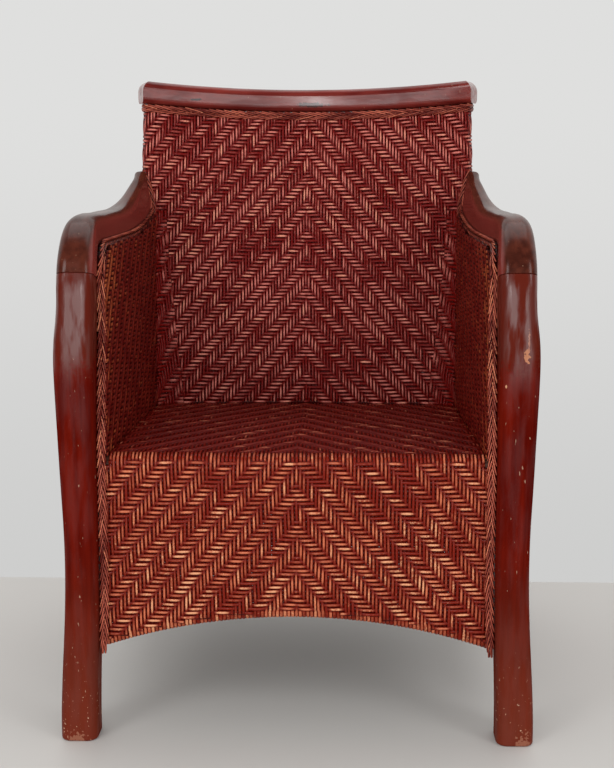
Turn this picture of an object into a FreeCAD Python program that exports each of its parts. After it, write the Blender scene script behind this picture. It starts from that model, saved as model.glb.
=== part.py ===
import FreeCAD, Part
import math
import os

os.makedirs("parts", exist_ok=True)
V = FreeCAD.Vector

# Woven rattan armchair. Millimetres, +Z up, the sitter faces -Y, origin on the floor under the middle.
# Depths (v) run backwards from the front face of the front legs.

overall_height = 906.0
fit_gap = 0.3
weave = 4.5

# Seat
seat_width = 498.0
seat_depth = 455.0
seat_front_height = 395.0
seat_fall = 22.0
seat_edge_radius = 14.0
rail_height = 42.0
side_rail_width = 44.0
slat_diameter = 18.0
block_leg = 48.0
block_height = 26.0

# Front legs; an outset runs from the edge of the seat to the outer face
foot_outset = 71.0
waist_outset = 58.2
bulge_outset = 63.3
joint_outset = 56.5
foot_width = 50.0
waist_width = 44.7
bulge_width = 52.0
joint_width = 48.0
waist_share = 0.4125
bulge_share = 0.866
leg_depth = 50.0
leg_corner = 14.0
foot_round = 3.0

# Arms
arm_below_crest = 202.0
arm_width = 42.0
arm_depth = 46.0
arm_outset = 56.0
arm_corner = 15.0
arm_end_width = 20.0
arm_end_depth = 66.0
arm_bend_radius = 75.0
joint_turn = 18.0
joint_chamfer = 1.5
arm_rise = 47.0
arm_rise_run = 230.0
arm_twist = 10.0

# Back, a shallow hollow shell that widens the crest and leans backwards
back_outset = 36.0
back_top_outset = 16.0
back_lean = 88.0
seat_hollow = 12.0
top_hollow = 44.0
back_edge_round = 12.0
post_width = 34.0
post_foot_depth = 34.0
rear_foot_set = 18.0
rake_blend = 150.0
post_seat_depth = 34.0
post_top_depth = 27.0
stave_count = 5
stave_diameter = 16.0
stave_share = 0.723
stave_gap = 0.9

# Crest rail
crest_outset = 28.0
crest_height = 37.0
crest_depth = 46.0
crest_dip = 13.0
crest_end_round = 18.0
crest_edge = 11.0

# Skirts, their bent lower rails and the braids over the woven edges
skirt_setback = 26.0
arch_mid_height = 169.0
arch_side_height = 126.0
side_arch_rise = 26.0
arch_diameter = 16.0
socket_depth = 13.0
short_socket = 6.0
braid = 12.0
braid_gap = 0.5
braid_bend = 58.0
crest_braid_height = 14.0
crest_braid_depth = 4.5
upright_count = 2
upright_diameter = 10.0

# Fasteners
dowel_diameter = 10.0
dowel_length = 44.0
dowel_gap = 0.1
screw_shank = 4.0
screw_head = 8.0
screw_length = 30.0

front_v = skirt_setback
slat_count = stave_count - 1
seat_back_v = front_v + seat_depth
shell_extra = 2 * (weave + fit_gap)
crest_rear = seat_back_v + back_lean + (crest_depth + post_top_depth + shell_extra) / 2
overall_depth = crest_rear
seat_back_height = seat_front_height - seat_fall
seat_half = seat_width / 2
crest_end_bottom = overall_height - crest_height
arm_top_height = overall_height - arm_below_crest
level_z = arm_top_height - arm_depth / 2
bend_start_z = level_z - arm_bend_radius
waist_height = waist_share * bend_start_z
bulge_height = bulge_share * bend_start_z
foot_spread = seat_half + foot_outset
waist_spread = seat_half + waist_outset
bulge_spread = seat_half + bulge_outset
joint_spread = seat_half + joint_outset
arm_spread = seat_half + arm_outset
back_seat_width = seat_width + 2 * back_outset
back_top_width = seat_width + 2 * back_top_outset
stave_spread = stave_share * seat_width
crest_width = seat_width + 2 * crest_outset
leg_axis_v = leg_depth / 2
bend_centre_v = leg_axis_v + arm_bend_radius
braid_r = braid / 2


def point(x, v, z):
    return V(x, v - overall_depth / 2, z)


def blend(a, b, t):
    t = min(1.0, max(0.0, t))
    return a + (b - a) * t * t * (3 - 2 * t)


def seat_z(v):
    return seat_front_height - seat_fall * (v - front_v) / seat_depth


def mirrored(shape):
    return shape.mirror(V(0, 0, 0), V(1, 0, 0))


def section(centre, ax, ay, w, h, r):
    def at(a, b):
        return centre + ax * a + ay * b
    k = r * (1 - math.sqrt(0.5))
    a, b = w / 2, h / 2
    edges = []
    corners = [(1, -1), (1, 1), (-1, 1), (-1, -1)]
    ends = []
    for sx, sy in corners:
        p = at(sx * a, sy * (b - r))
        q = at(sx * (a - r), sy * b)
        m = at(sx * (a - k), sy * (b - k))
        ends.append((q, m, p) if sx * sy < 0 else (p, m, q))
    for i in range(4):
        first, middle, last = ends[i]
        edges.append(Part.Arc(first, middle, last).toShape())
        edges.append(Part.LineSegment(last, ends[(i + 1) % 4][0]).toShape())
    return Part.Wire(edges)


def rod(p, q, d):
    return Part.makeCylinder(d / 2, (q - p).Length, p, q - p)


def pipe(edges, d):
    path = Part.Wire(edges)
    first = edges[0]
    start = first.valueAt(first.FirstParameter)
    along = first.tangentAt(first.FirstParameter)
    ring = Part.Wire([Part.Circle(start, along, d / 2).toShape()])
    return path.makePipeShell([ring], True, False)


def bent_rod(p, middle, q, d):
    return pipe([Part.Arc(p, middle, q).toShape()], d)


def spline(points):
    curve = Part.BSplineCurve()
    curve.interpolate(points)
    return curve.toShape()


def cord(points, d):
    path = spline(points)
    rings = []
    stations = 2 * len(points)
    for i in range(stations + 1):
        u = path.FirstParameter + (path.LastParameter - path.FirstParameter) * i / stations
        rings.append(Part.Wire([Part.Circle(path.valueAt(u), path.tangentAt(u), d / 2).toShape()]))
    return Part.makeLoft(rings, True, False)


def prism(edges, x, thickness):
    face = Part.Face(Part.Wire(edges))
    solid = face.extrude(V(thickness, 0, 0))
    solid.translate(V(x, 0, 0))
    return solid


def save(name, shape):
    shape.exportStep("parts/" + name + ".step")


def save_pair(name, right):
    save("right_" + name, right)
    save("left_" + name, mirrored(right))


# Front leg outline
def leg_outer(z):
    if z < waist_height:
        return blend(foot_spread, waist_spread, z / waist_height)
    if z < bulge_height:
        return blend(waist_spread, bulge_spread, (z - waist_height) / (bulge_height - waist_height))
    return blend(bulge_spread, joint_spread, (z - bulge_height) / (bend_start_z - bulge_height))


def leg_width(z):
    if z < waist_height:
        return blend(foot_width, waist_width, z / waist_height)
    if z < bulge_height:
        return blend(waist_width, bulge_width, (z - waist_height) / (bulge_height - waist_height))
    return blend(bulge_width, joint_width, (z - bulge_height) / (bend_start_z - bulge_height))


def leg_inner(z):
    return leg_outer(z) - leg_width(z)


def leg_section(z):
    centre = point(leg_outer(z) - leg_width(z) / 2, leg_axis_v, z)
    t = (z - bulge_height) / (bend_start_z - bulge_height)
    return section(centre, V(1, 0, 0), V(0, 1, 0), leg_width(z), blend(leg_depth, arm_depth, t), leg_corner)


# Back shell: each level is a band between two arcs about one centre
def back_level(z):
    rise = (z - seat_back_height) / (crest_end_bottom - seat_back_height)
    k = max(0.0, rise)
    half = (back_seat_width + (back_top_width - back_seat_width) * rise) / 2
    bow_half = (back_seat_width + (back_top_width - back_seat_width) * k) / 2
    hollow = seat_hollow + (top_hollow - seat_hollow) * k
    middle_v = seat_back_v + back_lean * k
    post = post_seat_depth + (post_top_depth - post_seat_depth) * k
    radius = (bow_half * bow_half + hollow * hollow) / (2 * hollow)
    return half, middle_v, radius, post


def polar(z, r, angle, shift=0.0):
    half, middle_v, radius, post = back_level(z)
    return point(r * math.sin(angle), middle_v - radius + r * math.cos(angle) + shift, z)


def band(z, inner, outer, side, corner, shift=0.0):
    half, middle_v, radius, post = back_level(z)
    turn = math.asin(half / radius)
    r0 = radius + inner
    r1 = radius + post + shell_extra - outer
    k = corner * (1 - math.sqrt(0.5))
    a0, a1 = turn - side / r0, turn - side / r1
    c0, c1 = corner / r0, corner / r1

    def at(r, angle):
        return polar(z, r, angle, shift)
    front = Part.Arc(at(r0, a0 - c0), at(r0, 0), at(r0, c0 - a0)).toShape()
    left_front = Part.Arc(at(r0, c0 - a0), at(r0 + k, k / r0 - a0), at(r0 + corner, -a0)).toShape()
    left = Part.LineSegment(at(r0 + corner, -a0), at(r1 - corner, -a1)).toShape()
    left_rear = Part.Arc(at(r1 - corner, -a1), at(r1 - k, k / r1 - a1), at(r1, c1 - a1)).toShape()
    rear = Part.Arc(at(r1, c1 - a1), at(r1, 0), at(r1, a1 - c1)).toShape()
    right_rear = Part.Arc(at(r1, a1 - c1), at(r1 - k, a1 - k / r1), at(r1 - corner, a1)).toShape()
    right = Part.LineSegment(at(r1 - corner, a1), at(r0 + corner, a0)).toShape()
    right_front = Part.Arc(at(r0 + corner, a0), at(r0 + k, a0 - k / r0), at(r0, a0 - c0)).toShape()
    return Part.Wire([front, left_front, left, left_rear, rear, right_rear, right, right_front])


def shell_solid(low, high, inset):
    corner = max(2.0, back_edge_round - inset)
    return Part.makeLoft([band(low, inset, inset, inset, corner), band(high, inset, inset, inset, corner)],
                         True, True)


# Rear post below the seat sweeps backwards to the foot
side_slope = (back_seat_width - back_top_width) / 2 / (crest_end_bottom - seat_back_height)
edge_lean = (back_lean - top_hollow + seat_hollow) / (crest_end_bottom - seat_back_height)


def post_level(z):
    half, middle_v, radius, post = back_level(z)
    r = radius + weave + fit_gap + post / 2
    turn = math.asin(half / radius) - (weave + fit_gap + post_width / 2) / r
    return r, turn, post


post_r, post_turn, post_d = post_level(seat_back_height)
post_seat_v = polar(seat_back_height, post_r, post_turn).y + overall_depth / 2
post_foot_v = overall_depth - rear_foot_set - post_foot_depth / 2
rake = (post_foot_v - post_seat_v + edge_lean * rake_blend / 2) / (seat_back_height - rake_blend / 2)


def post_shift(z):
    if z >= seat_back_height:
        return 0.0
    s = seat_back_height - z
    t = min(s, rake_blend)
    return (rake + edge_lean) * t * t / (2 * rake_blend) - edge_lean * t + rake * (s - t)


def post_section(z, depth):
    r, turn, post = post_level(z)
    centre = polar(z, r, turn, post_shift(z))
    across = V(math.cos(turn), -math.sin(turn), 0)
    along = V(math.sin(turn), math.cos(turn), 0)
    return section(centre, across, along, post_width, depth, 7.0)


post_tip = crest_end_bottom + 4.0
post_upper = Part.makeLoft([post_section(seat_back_height, post_seat_depth),
                            post_section(post_tip, back_level(post_tip)[3])], True, True)
lower_levels = []
for i in range(9):
    lower_levels.append(seat_back_height * i / 8)
post_lower = Part.makeLoft([post_section(z, blend(post_foot_depth, post_seat_depth, z / seat_back_height))
                            for z in lower_levels], True, False)
post = post_upper.fuse(post_lower)


# Underside of the crest, an arc that dips towards the middle
def above_dip(drop):
    span = crest_width / 2
    bow = (span * span + crest_dip * crest_dip) / (2 * crest_dip)
    half = span + crest_depth
    y0 = -2 * overall_depth
    low = crest_end_bottom - crest_dip - drop
    side = low + bow - math.sqrt(bow * bow - half * half)
    top = side + 4 * crest_height
    p, q = V(-half, y0, side), V(half, y0, side)
    arc = Part.Arc(p, V(0, y0, low), q).toShape()
    rest = Part.makePolygon([q, V(half, y0, top), V(-half, y0, top), p])
    return Part.Face(Part.Wire([arc] + rest.Edges)).extrude(V(0, 4 * overall_depth, 0))


over_crest = above_dip(2 * fit_gap)
post = post.cut(over_crest)


# Crest rail: sections square to a hollow, dipping path, with rounded shoulders at the ends
crest_half = crest_width / 2
crest_level = back_level(crest_end_bottom)
crest_shell = crest_level[3] + shell_extra
crest_front = crest_level[1] - (crest_depth - crest_shell) / 2
crest_radius = crest_level[2]
crest_turn = math.asin(crest_half / (crest_radius + crest_depth / 2))


def crest_section(angle):
    share = angle / crest_turn
    bottom = crest_end_bottom - crest_dip * (1 - share * share)
    r = crest_radius + crest_depth / 2
    centre = point(r * math.sin(angle), crest_front - crest_radius + r * math.cos(angle),
                   bottom + crest_height / 2)
    across = V(math.sin(angle), math.cos(angle), 0)
    return section(centre, across, V(0, 0, 1), crest_depth, crest_height, crest_edge)


crest_wires = []
crest_steps = 10
for i in range(crest_steps + 1):
    crest_wires.append(crest_section(crest_turn * (2 * i / crest_steps - 1)))
crest = Part.makeLoft(crest_wires, True, False)


# Rounded top shoulder, cut square across each end of the crest
def shoulder_cutter():
    r = crest_end_round
    k = r * (1 - math.sqrt(0.5))
    out = V(math.cos(crest_turn), -math.sin(crest_turn), 0)
    deep = V(math.sin(crest_turn), math.cos(crest_turn), 0)
    mid_r = crest_radius + crest_depth / 2
    corner = point(mid_r * math.sin(crest_turn), crest_front - crest_radius + mid_r * math.cos(crest_turn),
                   overall_height)
    corner = corner - deep * (2 * crest_depth)
    up = V(0, 0, 1)
    a, b = corner - out * r, corner - up * r
    arc = Part.Arc(a, corner - (out + up) * k, b).toShape()
    far = 2 * r
    rest = Part.makePolygon([b, b + out * far, b + out * far + up * (far + r), a + up * far, a])
    return Part.Face(Part.Wire([arc] + rest.Edges)).extrude(deep * (4 * crest_depth))


crest = crest.cut(shoulder_cutter()).cut(mirrored(shoulder_cutter()))


# Arm: one bent piece, up out of the leg, over a tight bend, level, then sweeping up and in to the back
arm_end_z = level_z + arm_rise
end_half, end_v, end_radius, end_post = back_level(arm_end_z)
end_turn = math.asin(end_half / end_radius)
arm_end_v = end_v - end_radius + end_radius * math.cos(end_turn) + 8.0
rise_start_v = arm_end_v - arm_rise_run
rise_turn = 2 * math.atan(arm_rise / arm_rise_run)
rise_radius = arm_rise_run / math.sin(rise_turn)
bend_length = arm_bend_radius * math.radians(90 - joint_turn)
level_length = rise_start_v - bend_centre_v
rise_length = rise_radius * rise_turn
arm_length = bend_length + level_length + rise_length
arm_end_x = end_half
joint_x = joint_spread - joint_width / 2
level_x = arm_spread - arm_width / 2


def arm_path(s):
    if s <= bend_length:
        turn = math.radians(joint_turn) + s / arm_bend_radius
        v = bend_centre_v - arm_bend_radius * math.cos(turn)
        return v, bend_start_z + arm_bend_radius * math.sin(turn), math.pi / 2 - turn
    if s <= bend_length + level_length:
        return bend_centre_v + s - bend_length, level_z, 0.0
    turn = (s - bend_length - level_length) / rise_radius
    return (rise_start_v + rise_radius * math.sin(turn),
            level_z + rise_radius * (1 - math.cos(turn)), turn)


def arm_size(s):
    if s <= bend_length:
        t = s / bend_length
        return blend(joint_x, level_x, t), blend(joint_width, arm_width, t), arm_depth
    t = (s - bend_length - level_length) / rise_length
    return (blend(level_x, arm_end_x, t), blend(arm_width, arm_end_width, t),
            blend(arm_depth, arm_end_depth, t))


def arm_roll(s):
    return math.radians(blend(0.0, arm_twist, (s - bend_length - level_length) / rise_length))


def arm_section(s):
    v, z, lean = arm_path(s)
    x, w, h = arm_size(s)
    roll = arm_roll(s)
    normal = V(0, -math.sin(lean), math.cos(lean))
    wide = V(math.cos(roll), 0, 0) - normal * math.sin(roll)
    tall = V(math.sin(roll), 0, 0) + normal * math.cos(roll)
    r = min(arm_corner, w / 2 - 2, h / 2 - 2)
    return section(point(x, v, z), wide, tall, w, h, r)


arm_stations = []
for i in range(5):
    arm_stations.append(bend_length * i / 4)
for i in range(1, 4):
    arm_stations.append(bend_length + level_length * i / 3)
for i in range(1, 6):
    arm_stations.append(bend_length + level_length + rise_length * i / 5)
arm = Part.makeLoft([arm_section(s) for s in arm_stations], True, False)

leg_wires = []
for t in (0.0, 0.25, 0.55, 1.0):
    leg_wires.append(leg_section(t * waist_height))
for t in (0.33, 0.67, 1.0):
    leg_wires.append(leg_section(waist_height + t * (bulge_height - waist_height)))
for t in (0.25, 0.5, 0.75, 1.0):
    leg_wires.append(leg_section(bulge_height + t * (bend_start_z - bulge_height)))
joint_v = bend_centre_v - arm_bend_radius * math.cos(math.radians(joint_turn))
leg_wires.append(arm_section(0.0))
leg = Part.makeLoft(leg_wires, True, False)
foot_edges = []
for edge in leg.Edges:
    if edge.BoundBox.ZMax < 0.01:
        foot_edges.append(edge)
leg = leg.makeFillet(foot_round, foot_edges)

# The top edge of the leg has a small chamfer, which shows as a line where the arm begins
joint_lean = math.pi / 2 - math.radians(joint_turn)
joint_at = point(joint_x, joint_v, bend_start_z + arm_bend_radius * math.sin(math.radians(joint_turn)))
joint_along = V(0, math.cos(joint_lean), math.sin(joint_lean))
joint_edges = []
for edge in leg.Edges:
    if max(abs((vertex.Point - joint_at).dot(joint_along)) for vertex in edge.Vertexes) < 0.01:
        joint_edges.append(edge)
leg = leg.makeChamfer(joint_chamfer, joint_edges)

# Frame rails under the seat
rail_front_v = front_v + weave + fit_gap
rail_reach = leg_inner(seat_front_height) - fit_gap
front_rail_top = seat_z(leg_depth) - weave
front_rail_low = front_rail_top - rail_height
edge_in = seat_edge_radius - weave
edge_k = edge_in * (1 - math.sqrt(0.5))
rail_corners = [point(0, rail_front_v + edge_in, front_rail_top), point(0, leg_depth, front_rail_top),
                point(0, leg_depth, front_rail_low), point(0, rail_front_v, front_rail_low),
                point(0, rail_front_v, front_rail_top - edge_in)]
rail_mid = point(0, rail_front_v + edge_k, front_rail_top - edge_k)
rail_edge = Part.Arc(rail_corners[4], rail_mid, rail_corners[0])
front_rail = prism(Part.makePolygon(rail_corners).Edges + [rail_edge.toShape()], -rail_reach, 2 * rail_reach)

rear_rail_v = post_seat_v - post_seat_depth / 2
rear_rail_reach = polar(seat_back_height, post_r, post_turn).x - post_width / 2 + 3.0
rear_rail_top = seat_z(seat_back_v) - weave - 2.0
rear_rail = Part.makeBox(2 * rear_rail_reach, post_seat_depth * 0.7, rail_height)
rear_rail.translate(point(-rear_rail_reach, rear_rail_v + 5.0, rear_rail_top - rail_height))
rear_rail_front = rear_rail_v + 5.0

side_rail_in = seat_half - 12.0
side_rail_start = leg_depth + fit_gap
side_rail_end = rear_rail_v + 4.0
rail_profile = [point(0, side_rail_start, seat_z(side_rail_start) - weave),
                point(0, side_rail_end, seat_z(side_rail_end) - weave),
                point(0, side_rail_end, seat_z(side_rail_end) - weave - rail_height),
                point(0, side_rail_start, seat_z(side_rail_start) - weave - rail_height)]
side_rail = prism(Part.makePolygon(rail_profile + rail_profile[:1]).Edges, side_rail_in, side_rail_width)
side_rail = side_rail.cut(post)
rear_rail = rear_rail.cut(post).cut(mirrored(post))

# Round slats carry the woven seat and are socketed into the front and rear rails
slats = []
for i in range(slat_count):
    x = stave_spread * ((i + 0.5) / slat_count - 0.5)
    drop = weave + fit_gap + slat_diameter / 2
    start_v = front_v + seat_edge_radius + 1.0
    slat_end_v = rear_rail_front + short_socket
    slat_p = point(x, start_v, seat_z(start_v) - drop)
    slat_q = point(x, slat_end_v, seat_z(slat_end_v) - drop)
    slat = rod(slat_p, slat_q, slat_diameter)
    socket = rod(slat_p, slat_q, slat_diameter + 2 * dowel_gap)
    front_rail = front_rail.cut(socket)
    rear_rail = rear_rail.cut(socket)
    slats.append(slat)

# Glue blocks in the seat corners, each held by two screws
block_low = seat_z(leg_depth) - weave - slat_diameter - block_height
front_block = Part.Face(Part.makePolygon([
    point(side_rail_in, leg_depth, block_low), point(side_rail_in - block_leg, leg_depth, block_low),
    point(side_rail_in, leg_depth + block_leg, block_low),
    point(side_rail_in, leg_depth, block_low)])).extrude(V(0, 0, block_height))
rear_block_low = rear_rail_top - slat_diameter - block_height
rear_block = Part.Face(Part.makePolygon([
    point(side_rail_in, rear_rail_front, rear_block_low),
    point(side_rail_in - block_leg, rear_rail_front, rear_block_low),
    point(side_rail_in, rear_rail_front - block_leg, rear_block_low),
    point(side_rail_in, rear_rail_front, rear_block_low)])).extrude(V(0, 0, block_height))


def screw(tip, direction):
    d = V(direction)
    d.normalize()
    head = Part.makeCone(screw_head / 2, screw_shank / 2, screw_head / 3, tip, d)
    shank = Part.makeCylinder(screw_shank / 2, screw_length, tip, d)
    return head.fuse(shank)


screws = []
block_mid = block_low + block_height / 2
rear_block_mid = rear_block_low + block_height / 2
inset = block_leg * 0.32
into_side = screw(point(side_rail_in - inset, leg_depth + block_leg - inset, block_mid), V(1, 0, 0))
into_front = screw(point(side_rail_in - block_leg + inset, leg_depth + inset, block_mid - 6.0), V(0, -1, 0))
into_side_rear = screw(point(side_rail_in - inset, rear_rail_front - block_leg + inset, rear_block_mid),
                       V(1, 0, 0))
into_rear = screw(point(side_rail_in - block_leg + inset, rear_rail_front - inset, rear_block_mid - 6.0),
                  V(0, 1, 0))
front_block = front_block.cut(into_side).cut(into_front)
rear_block = rear_block.cut(into_side_rear).cut(into_rear)
side_rail = side_rail.cut(into_side).cut(into_side_rear)
for one in (into_front, mirrored(into_front)):
    front_rail = front_rail.cut(one)
for one in (into_rear, mirrored(into_rear)):
    rear_rail = rear_rail.cut(one)
for one in (into_side, into_front, into_side_rear, into_rear):
    screws.append(one)
    screws.append(mirrored(one))

# Dowels: rails to legs and posts, leg to arm, arm to post, post to crest
rail_dowels = []
dowel_hole = dowel_diameter + 2 * dowel_gap
front_rail_v = (rail_front_v + leg_depth) / 2 - 2.0
low_z = front_rail_low + rail_height * 0.3
reach = dowel_length / 2
front_p = point(rail_reach - reach, front_rail_v, low_z)
front_q = point(rail_reach + reach, front_rail_v, low_z)
front_dowel = rod(front_p, front_q, dowel_diameter)
front_hole = rod(front_p, front_q, dowel_hole)
leg = leg.cut(front_hole)
front_rail = front_rail.cut(front_hole).cut(mirrored(front_hole))

side_dowel_x = side_rail_in + side_rail_width - dowel_diameter / 2 - 4.0
side_z = seat_z(side_rail_start) - weave - rail_height * 0.36
side_p = point(side_dowel_x, side_rail_start - reach + 8.0, side_z)
side_q = point(side_dowel_x, side_rail_start + reach + 8.0, side_z)
leg = leg.cut(rod(side_p, side_q, dowel_hole))
side_rail = side_rail.cut(rod(side_p, side_q, dowel_hole))
back_z = seat_z(side_rail_end) - weave - rail_height * 0.32
back_p = point(side_dowel_x, side_rail_end - reach - 6.0, back_z)
back_q = point(side_dowel_x, side_rail_end + reach - 6.0, back_z)
post = post.cut(rod(back_p, back_q, dowel_hole))
side_rail = side_rail.cut(rod(back_p, back_q, dowel_hole))
rear_v = rear_rail_front + post_seat_depth * 0.35
rear_z = rear_rail_top - rail_height * 0.68
rear_p = point(rear_rail_reach - reach - 6.0, rear_v, rear_z)
rear_q = point(rear_rail_reach + reach - 6.0, rear_v, rear_z)
post = post.cut(rod(rear_p, rear_q, dowel_hole))
rear_rail = rear_rail.cut(rod(rear_p, rear_q, dowel_hole)).cut(mirrored(rod(rear_p, rear_q, dowel_hole)))
for one in (front_dowel, rod(side_p, side_q, dowel_diameter), rod(back_p, back_q, dowel_diameter),
            rod(rear_p, rear_q, dowel_diameter)):
    rail_dowels.append(one)
    rail_dowels.append(mirrored(one))

arm_dowels = []
half_dowel = joint_along * (dowel_length * 0.45)
joint_hole = rod(joint_at - half_dowel, joint_at + half_dowel, dowel_hole)
leg = leg.cut(joint_hole)
arm = arm.cut(joint_hole)
arm_dowels.append(rod(joint_at - half_dowel, joint_at + half_dowel, dowel_diameter))

shell_outer = shell_solid(seat_back_height, crest_end_bottom + 6.0, 0.0)
shell_clear = shell_solid(seat_back_height, crest_end_bottom + 6.0, -fit_gap)
shell_foot = shell_solid(seat_back_height - rail_height, seat_back_height, -fit_gap)
arm = arm.cut(shell_clear)
tie_z = arm_end_z - dowel_length / 2
tie_r, tie_turn, tie_post = post_level(tie_z)
tie_at = polar(tie_z, tie_r, tie_turn)
tie_p = V(tie_at.x + post_width / 2 + 1.0, tie_at.y - dowel_length, tie_z)
tie_q = V(tie_at.x + 4.0, tie_at.y + 4.0, tie_z)
tie_hole = rod(tie_p, tie_q, dowel_hole)
arm = arm.cut(tie_hole)
post = post.cut(tie_hole)
arm_dowels.append(rod(tie_p, tie_q, dowel_diameter))

tip_r, tip_turn, tip_post = post_level(crest_end_bottom)
tip = polar(crest_end_bottom, tip_r, tip_turn)
tip_low = V(tip.x, tip.y, tip.z - dowel_length * 0.6)
tip_high = V(tip.x, tip.y, tip.z + dowel_length * 0.4)
crest_hole = rod(tip_low, tip_high, dowel_hole)
post = post.cut(crest_hole)
crest = crest.cut(crest_hole).cut(mirrored(crest_hole))
crest_dowels = [rod(tip_low, tip_high, dowel_diameter), mirrored(rod(tip_low, tip_high, dowel_diameter))]

# Woven back: a front and a rear panel that meet around the posts and staves
def front_band(z):
    half, middle_v, radius, depth = back_level(z)
    return band(z, -weave, (depth + shell_extra) / 2, -weave, 1.0)


sleeve = shell_outer.cut(shell_solid(seat_back_height, crest_end_bottom + 6.0, weave))
sleeve = sleeve.cut(over_crest).cut(tie_hole).cut(mirrored(tie_hole))
front_half = Part.makeLoft([front_band(seat_back_height), front_band(crest_end_bottom + 6.0)], True, True)
back_weave_front = sleeve.common(front_half)
back_weave_rear = sleeve.cut(front_half)

# Staves inside the woven back
staves = []
for i in range(stave_count):
    x = stave_spread * (i / (stave_count - 1) - 0.5)
    ends = []
    for z in (seat_back_height, crest_end_bottom):
        half, middle_v, radius, depth = back_level(z)
        r = radius + weave + stave_gap + stave_diameter / 2
        ends.append(polar(z, r, math.asin(x / r)))
    along = ends[1] - ends[0]
    along.normalize()
    dip = crest_dip * (1 - (x / crest_half) ** 2)
    low = ends[0] - along * (seat_back_height - rear_rail_top + socket_depth)
    high = ends[1] - along * (dip - socket_depth)
    staves.append(rod(low, high, stave_diameter))
    crest = crest.cut(rod(low, high, stave_diameter + 2 * dowel_gap))
    rear_rail = rear_rail.cut(rod(low, high, stave_diameter + 2 * dowel_gap))


# Woven rear skirt from the foot of the back down to its arch
def rear_band(z):
    half, middle_v, radius, depth = back_level(z)
    r1 = radius + post_seat_depth + shell_extra
    r0 = r1 - weave
    turn = math.asin(half / radius) - (r1 - radius) / r1 * math.asin(half / radius) - 1.0 / r1
    shift = post_shift(z)

    def at(r, angle):
        return polar(z, r, angle, shift)
    return Part.Wire([Part.Arc(at(r0, -turn), at(r0, 0), at(r0, turn)).toShape(),
                      Part.LineSegment(at(r0, turn), at(r1, turn)).toShape(),
                      Part.Arc(at(r1, turn), at(r1, 0), at(r1, -turn)).toShape(),
                      Part.LineSegment(at(r1, -turn), at(r0, -turn)).toShape()])


skirt_low = arch_side_height - 30.0
skirt_levels = []
for i in range(9):
    skirt_levels.append(skirt_low + (seat_back_height - fit_gap - skirt_low) * i / 8)
rear_skirt = Part.makeLoft([rear_band(z) for z in skirt_levels], True, False)


def arch_cutter(mid, side, half):
    y0 = -2 * overall_depth
    p, q = V(-half, y0, side), V(half, y0, side)
    arc = Part.Arc(p, V(0, y0, mid), q).toShape()
    base = Part.makePolygon([q, V(half * 1.4, y0, side), V(half * 1.4, y0, -side), V(-half * 1.4, y0, -side),
                             V(-half * 1.4, y0, side), p])
    return Part.Face(Part.Wire([arc] + base.Edges)).extrude(V(0, 4 * overall_depth, 0))


skirt_half = leg_inner(seat_front_height) - 1.0
rear_skirt = rear_skirt.cut(arch_cutter(arch_mid_height, arch_side_height, back_seat_width / 2))

# Woven seat that rolls over the front edge and hangs as the front skirt
t = seat_edge_radius
m = t * (1 - math.sqrt(0.5))
roll = front_v + t
top_out = seat_z(roll)
seat_end = seat_back_v + 20.0
outer_line = [point(0, seat_end, seat_z(seat_end)), point(0, roll, top_out),
              point(0, front_v + m, top_out - m), point(0, front_v, top_out - t),
              point(0, front_v, arch_side_height - 20.0)]
t2 = t - weave
m2 = t2 * (1 - math.sqrt(0.5))
top_in = seat_z(roll) - weave
inner_line = [point(0, front_v + weave, arch_side_height - 20.0), point(0, front_v + weave, top_in - t2),
              point(0, front_v + weave + m2, top_in - m2), point(0, roll, top_in),
              point(0, seat_end, seat_z(seat_end) - weave)]
mat_edges = [Part.LineSegment(outer_line[0], outer_line[1]).toShape(),
             Part.Arc(outer_line[1], outer_line[2], outer_line[3]).toShape(),
             Part.LineSegment(outer_line[3], outer_line[4]).toShape(),
             Part.LineSegment(outer_line[4], inner_line[0]).toShape(),
             Part.LineSegment(inner_line[0], inner_line[1]).toShape(),
             Part.Arc(inner_line[1], inner_line[2], inner_line[3]).toShape(),
             Part.LineSegment(inner_line[3], inner_line[4]).toShape(),
             Part.LineSegment(inner_line[4], outer_line[0]).toShape()]
seat_mat = prism(mat_edges, -skirt_half, 2 * skirt_half)
ear = Part.makeBox(skirt_half, overall_depth, seat_front_height)
ear.translate(point(seat_half - fit_gap, front_v - 1.0, seat_back_height - weave - 1.0))
ear_front = Part.makeBox(skirt_half, overall_depth, seat_front_height)
ear_front.translate(point(seat_half - fit_gap, front_v + weave, arch_side_height))
seat_mat = seat_mat.cut(ear).cut(mirrored(ear)).cut(ear_front).cut(mirrored(ear_front))
seat_mat = seat_mat.cut(shell_clear).cut(shell_foot)
seat_mat = seat_mat.cut(arch_cutter(arch_mid_height, arch_side_height, skirt_half))


# Bent lower rails
def arch_rail(v, half, mid, side, dy):
    lift = arch_diameter / 2 + fit_gap
    return (point(-half, v, side + lift), point(0, v + dy, mid + lift), point(half, v, side + lift))


front_arch_v = front_v + weave + fit_gap + arch_diameter / 2
arch_reach = leg_inner(arch_side_height) + short_socket
front_arch_ends = arch_rail(front_arch_v, arch_reach, arch_mid_height, arch_side_height, 0.0)
front_arch = bent_rod(*front_arch_ends, arch_diameter)
leg = leg.cut(bent_rod(*front_arch_ends, arch_diameter + 2 * dowel_gap))

low_r, low_turn, low_post = post_level(arch_side_height)
low_at = polar(arch_side_height, low_r, low_turn, post_shift(arch_side_height))
low_v = low_at.y + overall_depth / 2
rear_arch_ends = arch_rail(low_v, low_at.x - post_width / 2 + short_socket, arch_mid_height,
                           arch_side_height, 0.0)
rear_arch = bent_rod(*rear_arch_ends, arch_diameter)
post = post.cut(bent_rod(*rear_arch_ends, arch_diameter + 2 * dowel_gap))

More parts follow.
